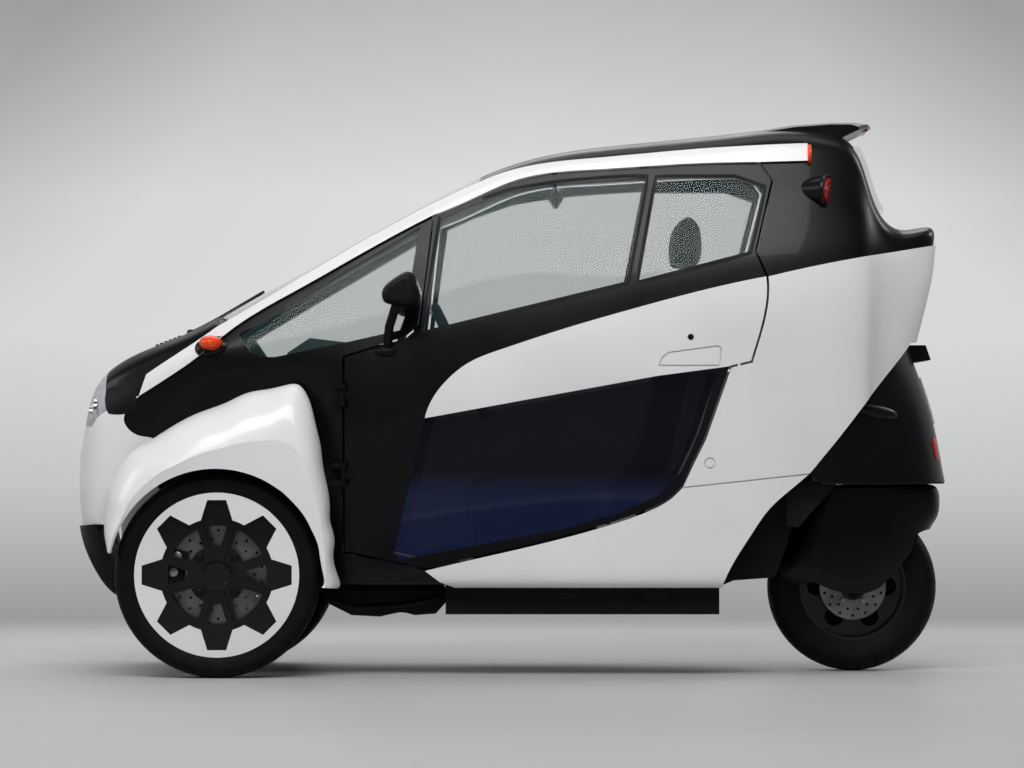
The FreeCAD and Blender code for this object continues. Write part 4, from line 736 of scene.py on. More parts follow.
class CAR_OT_wheels(bpy.types.Operator):
    """Drilled brake discs, wheel nuts, centre caps and valves"""

    bl_idname = "car.wheels"
    bl_label = "Wheels"

    def execute(self, context):
        around = tree("around_axle", turning_tree)
        drilled = tree("drilled_disc", disc_tree)
        for side, sign in SIDES:
            body = "front_" + side + "_wheel"
            axle = middle("front_tyre_" + side)
            outer, thick = box_size("front_disc_" + side)[0] / 2, box_size("front_disc_" + side)[1]
            foot = middle("front_disc_" + side) - Vector((0, thick / 2, 0))
            mesh = grown(drilled, None, "disc", Outer=outer, Inner=0.0455, Thickness=thick, Hole=look().hole,
                         Holes=18,
                         Near=0.095, Far=0.117, Axle=tuple(foot))
            add_piece("brake_disc_" + side, mesh, body, "disc", ("front_disc_" + side,))

            nut = bmesh.new()
            outline = [(0.0, 0.0), (LUG_RADIUS * 1.35, 0.0), (LUG_RADIUS * 1.35, 0.002), (LUG_RADIUS, 0.0022),
                       (LUG_RADIUS, 0.008), (LUG_RADIUS * 0.8, 0.0095), (0.0, 0.0095)]
            outline = [(r, sign * (y + 0.0245)) for r, y in outline]
            lathe(nut, outline, (0, 0, LUG_CIRCLE), 6)
            mesh = grown(around, nut, "bolt", Count=LUGS, Start=math.pi / 4, Axle=tuple(axle))
            add_piece("wheel_nuts_" + side, mesh, body, "bolt")

            cap = bmesh.new()
            face = 0.0402
            outline = [(0.0, face), (CAP_RADIUS * 0.72, face), (CAP_RADIUS * 0.76, face + 0.0014),
                       (CAP_RADIUS * 0.97, face + 0.001),
                       (CAP_RADIUS, face - 0.001), (CAP_RADIUS, face - 0.006), (0.0, face - 0.006)]
            lathe(cap, [(r, sign * y) for r, y in outline], axle, 48)
            add_piece("wheel_cap_" + side, cap, body, "wheel")

            valve = bmesh.new()
            foot = axle + Vector((0.105, sign * 0.017, -0.163))
            tube(valve, [foot, foot + Vector((-0.004, sign * 0.006, 0.006)),
                         foot + Vector((-0.012, sign * 0.016, 0.019))], 0.0035)
            add_piece("tyre_valve_" + side, valve, body, "rubber")
        thick = box_size("rear_disc")[1]
        foot = middle("rear_disc") - Vector((0, thick / 2, 0))
        mesh = grown(drilled, None, "disc", Outer=box_size("rear_disc")[0] / 2, Inner=0.0365, Thickness=thick,
                     Hole=look().hole, Holes=14, Near=0.062, Far=0.079, Axle=tuple(foot))
        add_piece("brake_disc_rear", mesh, "rear_road_wheel", "disc", ("rear_disc",))
        nut = bmesh.new()
        outline = [(0.0, 0.0), (0.0078, 0.0), (0.0078, 0.006), (0.006, 0.0075), (0.0, 0.0075)]
        reach = thick + 0.0022 + middle("rear_disc")[1] - REAR_AXLE.y - thick / 2 - 0.0025
        lathe(nut, [(r, y + reach) for r, y in outline], (0, 0, 0.047), 6)
        mesh = grown(around, nut, "zinc", Count=5, Axle=tuple(REAR_AXLE))
        add_piece("disc_bolts_rear", mesh, "rear_road_wheel", "zinc")
        hub = bmesh.new()
        outline = [(0.024, -0.030), (0.024, -0.036), (0.060, -0.040), (0.118, -0.034), (0.128, -0.030),
                   (0.128, -0.027), (0.060, -0.033)]
        lathe(hub, outline, REAR_AXLE, 64)
        add_piece("rear_hub_plate", hub, "rear_road_wheel", "chassis")
        return {"FINISHED"}


class CAR_OT_brakes(bpy.types.Operator):
    """Caliper pins, coil springs and dampers behind the front wheels"""

    bl_idname = "car.brakes"
    bl_label = "Brakes and springs"

    def execute(self, context):
        coil = tree("coil_spring", spring_tree)
        for side, sign in SIDES:
            axle = middle("front_tyre_" + side)
            pins = bmesh.new()
            for dx, dz in ((0.118, 0.008), (0.108, 0.048)):
                start = Vector((axle.x + dx, sign * 0.6, axle.z + dz))
                spot = surface(["front_suspension"], start, Vector((0, -sign, 0)))
                outline = [(0.0, 0.0), (0.013, 0.0), (0.013, 0.003), (0.010, 0.0042), (0.0, 0.0042)]
                lathe(pins, [(r, sign * (y - 0.001)) for r, y in outline], spot, 24)
            add_piece("caliper_pins_" + side, pins, "body", "zinc")

            foot = Vector((axle.x - 0.078, sign * 0.268, 0.232))
            mesh = grown(coil, None, "bolt", Radius=0.024, Wire=0.0042, Turns=7.0, Height=0.20,
                         Foot=tuple(foot))
            add_piece("coil_spring_" + side, mesh, "body", "bolt")
            damper = bmesh.new()
            outline = [(0.0, -0.012), (0.020, -0.012), (0.027, -0.004), (0.027, 0.0), (0.016, 0.002), (0.016,
                    0.1),
                       (0.008, 0.102), (0.008, 0.2), (0.027, 0.204), (0.027, 0.210), (0.012, 0.225), (0.0,
                               0.225)]
            lathe(damper, outline, foot, 20, (0, 0, 1))
            add_piece("damper_" + side, damper, "body", "chassis")
        return {"FINISHED"}


class CAR_OT_lamps(bpy.types.Operator):
    """Housings, reflectors and rings of the lamps"""

    bl_idname = "car.lamps"
    bl_label = "Lamps"

    def execute(self, context):
        for side, sign in SIDES:
            housing = bmesh.new()
            patch(housing, ["nose_panel", "hood", "front_side_panels", "headlamps"], (1.046, sign * 0.40,
                    0.735), (1, 0, -0.1), (0.1, 0, 1), (0.088, 0.078), 0.6,
                  (0, -sign, 0), 0.0008, 0.0, 0.002, 14)
            add_piece("headlamp_shroud_" + side, housing, "body", "trim")
            for name, y, z, radius in (("outer", 0.185, 0.712, 0.026), ("inner", 0.145, 0.700, 0.022)):
                spot = surface(["headlamps"], Vector((1.6, sign * y, z)), -AHEAD) - AHEAD * REFLECTOR_SUNK
                ring = bmesh.new()
                outline = [(radius * 0.80, -0.004), (radius, -0.004), (radius, 0.004), (radius * 0.86,
                        0.006), (radius * 0.80, 0.002)]
                lathe(ring, outline, spot, 40, (1, 0, 0))
                add_piece("headlamp_ring_" + name + "_" + side, ring, "body", "chrome")
                bulb = bmesh.new()
                outline = [(0.0, -0.006), (radius * 0.8, -0.004), (radius * 0.72, 0.001), (radius * 0.5,
                        0.005), (0.0, 0.008)]
                lathe(bulb, outline, spot, 32, (1, 0, 0))
                add_piece("headlamp_lens_" + name + "_" + side, bulb, "body", "chrome")

            tail = Vector((TAIL_LAMP[0], sign * TAIL_LAMP[1], TAIL_LAMP[2]))
            out = Vector((-math.cos(TAIL_TURN), sign * math.sin(TAIL_TURN), 0))
            rim = bmesh.new()
            outline = [(0.0355, -0.004), (0.0365, 0.0015), (0.041, 0.003), (0.0455, 0.0015), (0.0475,
                    -0.004), (0.0455, -0.007), (0.037, -0.007)]
            lathe(rim, outline, tail, 48, out)
            add_piece("tail_lamp_rim_" + side, rim, "body", "black")
            glow = bmesh.new()
            for radius in (0.012, 0.024):
                outline = [(radius - 0.0016, 0.0048), (radius - 0.0016, 0.0058), (radius + 0.0016, 0.0058),
                           (radius + 0.0016, 0.0048)]
                lathe(glow, outline, tail, 32, out)
            add_piece("tail_lamp_rings_" + side, glow, "body", "chrome")

            pad = bmesh.new()
            patch(pad, ["front_side_panels", "roof_rails", "quarter_windows"], (0.800, sign * 0.6, 0.877),
                  (1, 0, -0.25), (0.25, 0, 1),
                  (0.088, 0.046), 0.8, (0, -sign, 0), 0.003, 0.007, 0.003, 12)
            add_piece("turn_lamp_base_" + side, pad, "body", "black")
        stop = bmesh.new()
        low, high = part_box("roof_spoiler")
        slab(stop, (low[0] + 0.012, -0.075, high[2] - 0.026), (low[0] + 0.030, 0.075, high[2] - 0.014), 0.003)
        add_piece("high_stop_lamp", stop, "body", "red")
        return {"FINISHED"}


REFLECTOR_SUNK = 0.010
TAIL_LAMP = (-0.838, 0.298, 1.288)
TAIL_TURN = math.radians(25)


class CAR_OT_doors(bpy.types.Operator):
    """Mirror glass, keyhole rings and window seals"""

    bl_idname = "car.doors"
    bl_label = "Doors"

    def execute(self, context):
        for side, sign in SIDES:
            body = side + "_door"
            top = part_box("door_" + side + "_mirror")[1][2]
            head = (0.0, sign * MIRROR_OUT, top - MIRROR_DROP)
            glass = bmesh.new()
            patch(glass, ["door_" + side + "_mirror"], (0.05, head[1], head[2]), (0, 1, 0), (0, 0, 1),
                  (0.094, 0.060), 0.7,
                  (1, 0, 0), 0.0015, 0.0, 0.002, 12)
            add_piece("mirror_glass_" + side, glass, body, "mirror")

            inward = Vector((0, -sign, 0))
            spot = surface(["door_" + side + "_panel"], Vector((KEYHOLE[0], sign * 0.6, KEYHOLE[1])), inward)
            lock = bmesh.new()
            outline = [(0.0, 0.001), (0.0022, 0.001), (0.0026, 0.0016), (0.0068, 0.0016), (0.0078, 0.0),
                       (0.0078, -0.001), (0.0, -0.001)]
            lathe(lock, [(r, sign * y) for r, y in outline], spot, 32)
            add_piece("door_lock_" + side, lock, body, "bolt")

            seals = bmesh.new()
            for outline in WINDOW_EDGES:
                seal_strip(seals, "door_" + side + "_frame", outline, sign)
            add_piece("window_seals_" + side, seals, body, "rubber")
        return {"FINISHED"}


KEYHOLE = (-0.4709, 0.8981)
MIRROR_OUT = 0.430
MIRROR_DROP = 0.048
WINDOW_EDGES = (
    [(0.188, 1.218), (0.111, 1.253), (0.005, 1.290), (-0.127, 1.311), (-0.233, 1.320), (-0.355, 1.327),
     (-0.302, 1.046),
     (0.233, 0.916)],
    [(-0.386, 1.324), (-0.590, 1.324), (-0.667, 1.298), (-0.625, 1.125), (-0.336, 1.049)],
)
SEAL_OUT = (0.002, 0.010)


def seal_strip(bm, node, outline, sign):
    """A flat rubber strip round a window, laid on the frame just outside the opening."""
    centre = Vector((sum(p[0] for p in outline) / len(outline), sum(p[1] for p in outline) / len(outline)))
    points = []
    count = len(outline)
    for i in range(count):
        a, b = Vector(outline[i]), Vector(outline[(i + 1) % count])
        steps = max(2, int((b - a).length / 0.03))
        points += [a.lerp(b, k / steps) for k in range(steps)]
    rings = []
    for i, p in enumerate(points):
        along = (points[(i + 1) % len(points)] - points[i - 1]).normalized()
        out = Vector((along.y, -along.x))
        if out.dot(p - centre) < 0:
            out = -out
        ring = []
        for reach in SEAL_OUT:
            q = p + out * reach
            met = hit([node], Vector((q.x, sign * 0.7, q.y)), Vector((0, -sign, 0)))
            if not met or abs(met[0].y) < 0.15:
                ring = None
                break
            ring.append((met[0] + Vector((0, sign * 0.0012, 0)), met[0] - Vector((0, sign * 0.001, 0))))
        rings.append(ring)
    made = [ring and [bm.verts.new(c) for c in (ring[0][0], ring[1][0], ring[1][1],
                                                ring[0][1])] for ring in rings]
    for a, b in zip(made, made[1:] + made[:1]):
        if a and b:
            for k in range(4):
                bm.faces.new((a[k], a[(k + 1) % 4], b[(k + 1) % 4], b[k]))


# Seats: side outlines (x, z) of each pad, half its width, and which of its points face the rider
PADS = (
    ("front_seat_cushion", ((0.130, 0.425), (0.134, 0.500), (0.116, 0.518), (0.037, 0.508), (-0.127, 0.486),
                            (-0.232, 0.468),
                                    (-0.245, 0.418)), 0.218, (0, 0, 1), 0.016),
    ("front_seat_back", ((-0.250, 0.440), (-0.300, 0.526), (-0.353, 0.632), (-0.394, 0.795), (-0.437, 1.085),
                         (-0.500, 1.085),
                                 (-0.460, 0.790), (-0.412, 0.565), (-0.335, 0.425)), 0.218, (1, 0,
                                         0.35), 0.016),
    ("front_head_rest", ((-0.430, 1.100), (-0.438, 1.185), (-0.456, 1.228), (-0.478, 1.238), (-0.496, 1.220),
                         (-0.504, 1.160), (-0.504, 1.100)), 0.110,
     (1, 0, 0), 0.006),
    ("rear_seat_cushion", ((-0.568, 0.585), (-0.580, 0.652), (-0.690, 0.647), (-0.790, 0.640),
                           (-0.790, 0.585)), 0.203,
     (0, 0, 1), 0.010),
    ("rear_seat_back", ((-0.797, 0.660), (-0.806, 0.705), (-0.863, 1.070), (-0.955, 1.070), (-0.880, 0.705),
                        (-0.872, 0.660)),
     0.203, (1, 0, 0), 0.010),
)
PAD_SLICES = 14
PAD_VOXEL = 0.009
PAD_CAP = 0.009
CLOTH_FRAMES = 18


def outline_middle(outline):
    count = len(outline)
    return Vector((sum(p[0] for p in outline) / count, 0, sum(p[1] for p in outline) / count))


def pad_shape(outline, half, facing, bolster):
    """A closed pad: its outline drawn across the car, with bolsters at the sides and drawn-in ends."""
    bm = bmesh.new()
    face = Vector(facing).normalized()
    centre = outline_middle(outline)
    rings = []
    for j in range(PAD_SLICES + 1):
        a = 2 * j / PAD_SLICES - 1
        rise = bolster * max(0.0, abs(a) - 0.45) / 0.4 if abs(a) < 0.85 else bolster
        squeeze = 0.93 if abs(a) > 0.99 else 1.0
        ring = []
        for x, z in outline:
            p = centre + (Vector((x, 0, z)) - centre) * squeeze
            if (p - centre).dot(face) > 0:
                p += face * (rise - bolster * 0.6)
            p.y = a * half
            ring.append(bm.verts.new(p))
        rings.append(ring)
    for a, b in zip(rings, rings[1:]):
        for k in range(len(outline)):
            m = (k + 1) % len(outline)
            bm.faces.new((a[k], a[m], b[m], b[k]))
    bm.faces.new(rings[0])
    bm.faces.new(list(reversed(rings[-1])))
    bmesh.ops.recalc_face_normals(bm, faces=bm.faces)
    return bm


def modified(piece, kind, **settings):
    """The piece's mesh with one modifier applied."""
    modifier = piece.modifiers.new(kind.lower(), kind)
    for key, value in settings.items():
        setattr(modifier, key, value)
    mesh = bpy.data.meshes.new_from_object(piece.evaluated_get(bpy.context.evaluated_depsgraph_get()))
    piece.modifiers.remove(modifier)
    piece.data = mesh
    return piece


def swollen(piece):
    """Fills the pads like cushions by a cloth simulation, and caps how far each point moves."""
    before = [v.co.copy() for v in piece.data.vertices]
    modifier = piece.modifiers.new("cloth", "CLOTH")
    modifier.settings.use_pressure = True
    modifier.settings.uniform_pressure_force = 4.0
    modifier.settings.quality = 4
    modifier.settings.effector_weights.gravity = 0
    modifier.point_cache.frame_start, modifier.point_cache.frame_end = 1, CLOTH_FRAMES
    scene = bpy.context.scene
    for step in range(1, CLOTH_FRAMES + 1):
        scene.frame_set(step)
    mesh = bpy.data.meshes.new_from_object(piece.evaluated_get(bpy.context.evaluated_depsgraph_get()))
    piece.modifiers.remove(modifier)
    for vertex, start in zip(mesh.vertices, before):
        move = vertex.co - start
        if move.length > PAD_CAP:
            vertex.co = start + move * (PAD_CAP / move.length)
    piece.data = mesh
    scene.frame_set(1)
    return piece


class CAR_OT_seats(bpy.types.Operator):
    """Padded seats with seams, on moulded plinths"""

    bl_idname = "car.seats"
    bl_label = "Seats"

    def execute(self, context):
        for name, outline, half, facing, bolster in PADS:
            node = name.split("_")[0] + "_seat"
            mesh = bpy.data.meshes.new(name)
            bm = pad_shape(outline, half, facing, bolster)
            bm.to_mesh(mesh)
            bm.free()
            piece = bpy.data.objects.new(name, mesh)
            context.scene.collection.objects.link(piece)
            modified(piece, "REMESH", mode="VOXEL", voxel_size=PAD_VOXEL, use_smooth_shade=True)
            modified(piece, "SMOOTH", factor=0.5, iterations=6)
            swollen(piece)
            modified(piece, "SUBSURF", levels=1, render_levels=1)
            piece.data.materials.clear()
            piece.data.materials.append(MATERIALS["seat"])
            for polygon in piece.data.polygons:
                polygon.use_smooth = True
            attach(piece, "body")
            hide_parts(node)

            seams = bmesh.new()
            centre = outline_middle(outline)
            tops = [p for p in outline if (Vector((p[0], 0, p[1])) - centre).dot(Vector(facing)) > 0]
            for share in (-0.5, 0.5):
                line = []
                for a, b in zip(tops, tops[1:]):
                    for k in range(6):
                        x, z = a[0] + (b[0] - a[0]) * k / 6, a[1] + (b[1] - a[1]) * k / 6
                        start = Vector((x, share * half, z)) + Vector(facing) * 0.1
                        found, point, _, _ = piece.ray_cast(start, -Vector(facing).normalized())
                        if found and (point - start).length < 0.2:
                            line.append(point)
                if len(line) > 3:
                    tube(seams, line, look().stitch, 6)
            if seams.verts:
                add_piece(name + "_seams", seams, "body", "vinyl")
            else:
                seams.free()
        plinths = bmesh.new()
        slab(plinths, (-0.228, -0.118, 0.291), (0.108, 0.118, 0.398), 0.012)
        plate(plinths, [(0.120, 0.400), (0.128, 0.432), (-0.250, 0.432), (-0.262, 0.402)], -0.20, 0.20, 0.004)
        add_piece("front_seat_plinth", plinths, "body", "trim")
        shell = bmesh.new()
        plate(shell, [(-0.345, 0.418), (-0.420, 0.560), (-0.468, 0.788), (-0.508, 1.080), (-0.500, 1.085),
                      (-0.460, 0.790), (-0.412, 0.565),
                      (-0.335, 0.425)], -0.205, 0.205, 0.003)
        add_piece("front_seat_shell", shell, "body", "trim")
        rear = bmesh.new()
        slab(rear, (-0.780, -0.108, 0.545), (-0.592, 0.108, 0.590), 0.006)
        add_piece("rear_seat_plinth", rear, "body", "trim")
        posts = bmesh.new()
        for y in (-0.05, 0.05):
            tube(posts, [(-0.462, y, 1.07), (-0.470, y, 1.115)], 0.006, 10)
        add_piece("head_rest_posts", posts, "body", "zinc")
        return {"FINISHED"}


VENT_OUT = 0.16
VENT_HEIGHT = 0.825
VENT_PITCH = 0.008
VENT_SLATS = 6
COLUMN = (Vector((0.36001, 0, 0.7399308)), Vector((0.20497, 0, 0.8120427)))


class CAR_OT_cabin(bpy.types.Operator):
    """Display, vents, pedals, steering pad and mirror glass in the cabin"""

    bl_idname = "car.cabin"
    bl_label = "Cabin"

    def execute(self, context):
        screen = bmesh.new()
        patch(screen, ["dashboard"], (0.325, 0.0, 0.832), (0, 1, 0), (0, 0, 1), (0.190, 0.050), 0.35, (1, 0,
                0), 0.004, 0.0, 0.003, 8)
        add_piece("dash_display", screen, "body", "screen")
        slat = bmesh.new()
        slab(slat, (-0.004, -0.030, -0.0015), (0.004, 0.030, 0.0015), 0.0006)
        row = tree("in_a_row", row_tree)
        for side, sign in SIDES:
            spot = surface(["dashboard"], Vector((0.0, sign * VENT_OUT, VENT_HEIGHT)), AHEAD)
            first = spot + Vector((0.001, 0, -VENT_SLATS * VENT_PITCH * 5 / 12))
            mesh = grown(row, slat.copy(), "trim", Count=VENT_SLATS, First=tuple(first), Step=(0.0, 0.0,
                    VENT_PITCH))
            add_piece("dash_vent_" + side, mesh, "body", "trim")
        slat.free()
        pedals = bmesh.new()
        for y, tall in ((0.055, 0.05), (-0.055, 0.06)):
            slab(pedals, (0.438, y - 0.026, 0.345), (0.448, y + 0.026, 0.345 + tall), 0.004,
                 Matrix.Rotation(-0.4, 3, "Y"))
            tube(pedals, [(0.447, y, 0.38), (0.485, y, 0.47), (0.515, y, 0.62)], 0.006, 8)
        add_piece("pedals", pedals, "body", "chassis")

        foot, top = COLUMN
        axis = (top - foot).normalized()
        pad = bmesh.new()
        outline = [(0.0, 0.012), (0.040, 0.010), (0.052, 0.002), (0.053, -0.012), (0.046, -0.016), (0.0,
                -0.016)]
        lathe(pad, outline, top - axis * 0.006, 40, axis)
        add_piece("steering_pad", pad, "steering_wheel", "dash")
        glass = bmesh.new()
        patch(glass, ["cabin_mirror"], (-0.3, 0.0, middle("cabin_mirror").z), (0, 1, 0), (0, 0, 1), (0.125,
                0.034), 0.8,
              (1, 0, 0), 0.001, 0.0, 0.002, 8)
        add_piece("cabin_mirror_glass", glass, "body", "mirror")
        return {"FINISHED"}


class CAR_OT_trim(bpy.types.Operator):
    """Wiper, vents, reflectors, blank plate and the small parts under the sill"""

    bl_idname = "car.trim"
    bl_label = "Trim"

    def execute(self, context):
        row = tree("in_a_row", row_tree)
        for side, sign in SIDES:
            clip = bmesh.new()
            slab(clip, (-0.036, -0.003, -0.017), (0.036, 0.003, 0.017), 0.0025)
            slab(clip, (-0.026, -0.0045, -0.007), (0.026, 0.0045, 0.007), 0.002)
            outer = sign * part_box("floor_pan")[1][1]
            mesh = grown(row, clip, "chassis", Count=3, First=(-0.380, outer * 0.9965, 0.2235), Step=(0.230,
                    0.0, 0.0))
            add_piece("sill_clips_" + side, mesh, "body", "chassis")

            bulge = bmesh.new()
            patch(bulge, ["rear_lower_cover"], (-0.975, sign * 0.6, 0.702), (1, 0, 0.18), (-0.18, 0, 1),
                  (0.105, 0.034), 0.9,
                  (0, -sign, 0), 0.0, 0.009, 0.003, 14)
            add_piece("cover_blister_" + side, bulge, "body", "black")

            glint = bmesh.new()
            patch(glint, ["rear_lower_cover"], (-1.30, sign * 0.150, 0.605), (0, 1, 0), (0, 0, 1), (0.030,
                    0.062), 0.8,
                  (1, 0, 0), 0.002, 0.002, 0.003, 8)
            add_piece("rear_reflector_" + side, glint, "body", "red")

            bits = bmesh.new()
            outline = [(0.500, 0.228), (0.200, 0.228), (0.176, 0.196), (0.205, 0.164), (0.262, 0.160),
                       (0.300, 0.172), (0.352, 0.156),
                       (0.430, 0.160), (0.490, 0.190)]
            plate(bits, outline, sign * 0.150, sign * 0.235, 0.004)
            tube(bits, [(0.500, sign * 0.243, 0.205), (0.420, sign * 0.245, 0.180),
                        (0.300, sign * 0.245, 0.186), (0.190, sign * 0.243, 0.206)], 0.007, 10)
            add_piece("underbody_parts_" + side, bits, "body", "chassis")

            flap = bmesh.new()
            outline = [(-0.728, 0.519), (-0.870, 0.519), (-0.850, 0.495), (-0.800, 0.440), (-0.760, 0.395),
                       (-0.728, 0.400)]
            plate(flap, outline, sign * 0.278, sign * 0.282, 0.001)
            add_piece("wheel_house_flap_" + side, flap, "body", "rubber")
        edge = bmesh.new()
        inside = []
        for k in range(73):
            turn = math.radians(-120 + 240 * k / 72)
            out = Vector((-math.cos(turn), math.sin(turn), 0))
            start = Vector((-0.86, 0, 0.5195)) + out * 0.8
            met = hit(["rear_lower_cover"], start, -out)
            if met:
                inside.append((met[0] - out * 0.001, out))
        for reach, low in ((0.0, 0.5105), (0.004, 0.5105)):
            for point, out in inside:
                edge.verts.new((point.x - out.x * reach, point.y - out.y * reach, 0.522))
                edge.verts.new((point.x - out.x * reach, point.y - out.y * reach, low))
        edge.verts.ensure_lookup_table()
        count = 2 * len(inside)
        for k in range(0, count - 2, 2):
            a, b, c, d = edge.verts[k], edge.verts[k + 1], edge.verts[k + 3], edge.verts[k + 2]
            e, f, g, h = (edge.verts[count + n] for n in (k, k + 1, k + 3, k + 2))
            if (a.co - d.co).length < 0.06:
                for quad in ((a, b, c, d), (h, g, f, e), (b, f, g, c), (e, a, d, h)):
                    edge.faces.new(quad)
        add_piece("cover_edge_rubber", edge, "body", "rubber")

        rise = bmesh.new()
        pivot = Vector(WIPER_PIVOT)
        along = Vector((-math.cos(WIPER_TURN), math.sin(WIPER_TURN), 0))
        line = []
        for k in range(13):
            p = pivot + along * (WIPER_LENGTH * k / 12)
            met = hit(["windscreen", "hood"], p + Vector((0, 0, 0.5)), Vector((0, 0, -1)))
            line.append((met[0] if met else line[-1] - Vector((0, 0, 0.011))) + Vector((0, 0, 0.011)))
        tube(rise, line, 0.0038, 8)
        add_piece("wiper_arm", rise, "body", "trim", ("wiper",))
        blade = bmesh.new()
        side = along.cross(Vector((0, 0, 1)))
        lower = [p + side * 0.009 - Vector((0, 0, 0.0055)) for p in line[4:]]
        tube(blade, lower, 0.0032, 6)
        for k in (0, 4, 8):
            tube(blade, [lower[k], line[4 + k]], 0.0028, 6)
        add_piece("wiper_blade", blade, "body", "rubber")
        boss = bmesh.new()
        foot = surface(["hood", "windscreen"], pivot + Vector((0, 0, 0.5)), -UP)
        outline = [(0.0, 0.018), (0.008, 0.018), (0.012, 0.014), (0.014, 0.0), (0.014, -0.004), (0.0, -0.004)]
        lathe(boss, outline, foot, 24, (0, 0, 1))
        add_piece("wiper_boss", boss, "body", "trim")

        slat = bmesh.new()
        slab(slat, (-0.004, -0.105, 0.0), (0.004, 0.105, 0.003), 0.001, Matrix.Rotation(0.42, 3, "Y"))
        near, far = (surface(["hood"], Vector((x, 0, 2)), -UP) for x in HOOD_VENT)
        step = (far - near) / 5
        mesh = grown(row, slat, "trim", Count=6, First=tuple(near - UP * 0.0008), Step=tuple(step))
        add_piece("hood_vent", mesh, "body", "trim")

        blank = bmesh.new()
        patch(blank, ["rear_lower_cover"], (-1.4, 0.0, 0.735), (0, 1, 0), (-0.25, 0, 1), (0.210, 0.130),
              0.12, (1, 0, 0), 0.004, 0.0, 0.002, 10)
        add_piece("rear_blank_plate", blank, "body", "plate")
        mouth = bmesh.new()
        patch(mouth, ["lower_grille"], (1.5, 0.0, LIP_HEIGHT), (0, 1, 0), (0, 0, 1), (0.200, 0.040), 0.5,
              (-1, 0, 0), 0.0008, 0.0, 0.002, 10)
        add_piece("lip_recess", mouth, "body", "rubber")
        rib = bmesh.new()
        slab(rib, (-0.0015, -0.0035, -0.017), (0.0015, 0.0035, 0.017), 0.0008)
        spot = surface(["lower_grille"], Vector((1.5, 0, LIP_HEIGHT)), -AHEAD)
        mesh = grown(row, rib, "trim", Count=9, First=(spot.x - 0.001, -0.08, LIP_HEIGHT), Step=(0.0, 0.02,
                0.0))
        add_piece("lip_ribs", mesh, "body", "trim")
        return {"FINISHED"}


WIPER_PIVOT = (0.8874, -0.060, 0.9)
WIPER_LENGTH = 0.236
WIPER_TURN = math.radians(28)
LIP_HEIGHT = 0.335
HOOD_VENT = (0.905, 0.965)
BACK_WALL = -3.2
WALL_TURN = 1.6


# Name, place, what it is aimed at, size and power of each lamp
LIGHTS = (
    ("overhead", (0.5, 4.0, 4.5), (0, 0, 0.5), (5.0, 2.0), 250.0),
    ("top", (-0.2, -0.6, 4.6), (0, -0.2, 0.8), (4.5, 1.6), 45.0),
    ("front", (5.6, 1.2, 3.4), (0.5, 0, 0.6), (2.6, 2.2), 70.0),
    ("rear", (-4.6, -1.4, 3.6), (-0.6, 0, 1.0), (1.6, 1.6), 70.0),
    ("far_side", (0.2, -2.7, 3.4), (0, 0, 0.6), (4.0, 1.6), 45.0),
)
CAMERA_PLACE = (-0.127, 10.0, 0.588)
CAMERA_LENS = 128.5
CAMERA_SHIFT = (-48 / 1024, 71 / 1024)


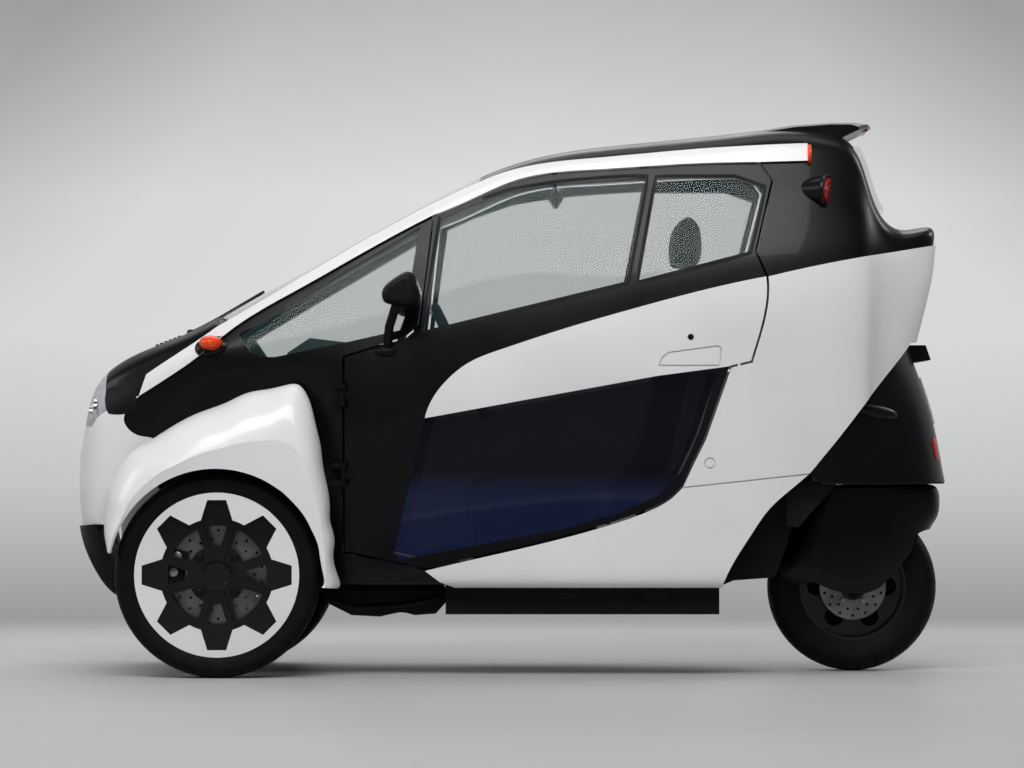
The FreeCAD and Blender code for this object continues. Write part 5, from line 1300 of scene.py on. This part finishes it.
class CAR_OT_stage(bpy.types.Operator):
    """Lay the floor and backdrop, and set the lights and the camera"""

    bl_idname = "car.stage"
    bl_label = "Stage"

    def execute(self, context):
        scene = context.scene
        scene.view_settings.view_transform = "Standard"
        mesh = bpy.data.meshes.new("floor")
        bm = bmesh.new()
        profile = [(14.0, 0.0), (BACK_WALL, 0.0)]
        for i in range(1, 13):
            turn = math.pi / 2 * i / 12
            profile.append((BACK_WALL - WALL_TURN * math.sin(turn), WALL_TURN * (1 - math.cos(turn))))
        profile.append((BACK_WALL - WALL_TURN, 9.0))
        rows = [[bm.verts.new((x, y, z)) for x in (-16.0, 16.0)] for y, z in profile]
        for a, b in zip(rows, rows[1:]):
            bm.faces.new((a[0], a[1], b[1], b[0]))
        bm.to_mesh(mesh)
        bm.free()
        for polygon in mesh.polygons:
            polygon.use_smooth = True
        floor = bpy.data.objects.new("floor", mesh)
        scene.collection.objects.link(floor)
        g = Graph("studio_backdrop")
        # painted light and shade on the floor: its colour is darker at the front, lightest behind the car and
        # a little darker again at the wall
        tone = g.ramp(g.spread(g.axis("Y"), 2.0, BACK_WALL), ((0.0, srgb("a9aaab")), (0.4, srgb("bbbcbd")),
                                                              (0.7, srgb("c2c3c4")), (1.0, srgb("b4b5b6"))))
        g.link(tone, g.shader.inputs["Base Color"])
        g.shine(g.noise(2.0), 0.45, 0.55)
        g.set(Specular_IOR_Level=0.2)
        # painted pool of light on the backdrop: its glow is brightest from about 1.1 to 1.65 m high, with
        # painted shade darkening it towards the foot of the wall and towards the top
        height = g.ramp(g.spread(g.axis("Z"), 0.0, 3.0), (
            (0.0, srgb("9b9c9d")), (0.16, srgb("c8cac9")), (0.36, srgb("e2e4e3")), (0.55,
                    srgb("e2e4e3")), (0.80, srgb("bdbebe")), (1.0, srgb("a5a7a8"))))
        # painted corner shade: the glow darkens towards the upper corners, and this mask is multiplied into
        # the painted pool of light
        corner_shade_mask = g.math("MULTIPLY", g.math("ABSOLUTE", g.axis("X")), g.axis("Z"))
        width = g.ramp(g.spread(corner_shade_mask, 0.0, 5.0), ((0.0, grey(1.0)), (0.5, grey(0.93)), (0.9, grey(0.60))))
        painted_light_and_shade = g.add("ShaderNodeMix", data_type="RGBA", blend_type="MULTIPLY")
        painted_light_and_shade.inputs["Factor"].default_value = 1.0
        g.link(height, painted_light_and_shade.inputs["A"])
        g.link(width, painted_light_and_shade.inputs["B"])
        glow = g.add("ShaderNodeEmission")
        rays = g.add("ShaderNodeLightPath")
        seen = g.math("MAXIMUM", g.math("MAXIMUM", rays.outputs["Is Camera Ray"],
                                        rays.outputs["Is Glossy Ray"]), rays.outputs["Is Transmission Ray"])
        wall = g.spread(g.axis("Y"), BACK_WALL + 1.0, BACK_WALL - 0.25)
        distance = g.math("SQRT", g.math("ADD", g.math("POWER", g.axis("X"), 2.0),
                                         g.math("POWER", g.axis("Y"), 2.0)))
        far = g.spread(distance, 4.2, 9.0)
        share = g.math("MULTIPLY", seen, g.math("MAXIMUM", wall, far))
        even = g.add("ShaderNodeMix", data_type="RGBA")
        g.link(far, even.inputs["Factor"])
        g.link(painted_light_and_shade.outputs["Result"], even.inputs["A"])
        even.inputs["B"].default_value = srgb("b9bbbc")
        g.link(even.outputs["Result"], glow.inputs["Color"])
        mixed = g.add("ShaderNodeMixShader")
        g.link(share, mixed.inputs[0])
        g.link(g.shader.outputs["BSDF"], mixed.inputs[1])
        g.link(glow.outputs[0], mixed.inputs[2])
        g.link(mixed.outputs[0], g.output.inputs["Surface"])
        mesh.materials.append(g.material)

        world = bpy.data.worlds.new("studio")
        world.use_nodes = True
        nodes, links = world.node_tree.nodes, world.node_tree.links
        light = nodes["Background"]
        light.inputs["Color"].default_value = grey(1.0)
        light.inputs["Strength"].default_value = 0.07
        shown = nodes.new("ShaderNodeBackground")
        shown.inputs["Color"].default_value = srgb("b9bbbc")
        rays = nodes.new("ShaderNodeLightPath")
        mixed = nodes.new("ShaderNodeMixShader")
        links.new(rays.outputs["Is Camera Ray"], mixed.inputs[0])
        links.new(light.outputs[0], mixed.inputs[1])
        links.new(shown.outputs[0], mixed.inputs[2])
        links.new(mixed.outputs[0], nodes["World Output"].inputs["Surface"])
        scene.world = world

        for name, place, target, size, power in LIGHTS:
            light = bpy.data.lights.new(name, "AREA")
            light.shape = "RECTANGLE"
            light.size, light.size_y = size
            light.energy = power
            lamp = bpy.data.objects.new(name, light)
            lamp.location = place
            aim = Vector(target) - Vector(place)
            lamp.rotation_euler = aim.to_track_quat("-Z", "Y").to_euler()
            scene.collection.objects.link(lamp)

        camera_data = bpy.data.cameras.new("camera")
        camera_data.sensor_width = 36.0
        camera_data.lens = CAMERA_LENS
        camera_data.shift_x, camera_data.shift_y = CAMERA_SHIFT
        camera_data.clip_end = 100.0
        camera = bpy.data.objects.new("camera", camera_data)
        camera.location = CAMERA_PLACE
        camera.rotation_euler = (math.radians(90), 0, math.radians(180))
        scene.collection.objects.link(camera)
        scene.camera = camera
        return {"FINISHED"}


OPERATORS = (CAR_OT_materials, CAR_OT_tyres, CAR_OT_wheels, CAR_OT_brakes, CAR_OT_lamps, CAR_OT_doors,
             CAR_OT_seats, CAR_OT_cabin,
             CAR_OT_trim, CAR_OT_stage)


class CAR_PT_panel(bpy.types.Panel):
    """The steps that dress the car"""

    bl_label = "Car"
    bl_idname = "CAR_PT_panel"
    bl_space_type = "VIEW_3D"
    bl_region_type = "UI"
    bl_category = "Car"

    def draw(self, context):
        for operator in OPERATORS:
            self.layout.operator(operator.bl_idname)


CLASSES = (CarLook, *OPERATORS, CAR_PT_panel)


def register():
    for item in CLASSES:
        bpy.utils.register_class(item)
    bpy.types.Scene.car_look = bpy.props.PointerProperty(type=CarLook)


def unregister():
    del bpy.types.Scene.car_look
    for item in reversed(CLASSES):
        bpy.utils.unregister_class(item)


def main():
    register()
    for operator in OPERATORS:
        group, name = operator.bl_idname.split(".")
        getattr(getattr(bpy.ops, group), name)()


if __name__ == "__main__":
    main()
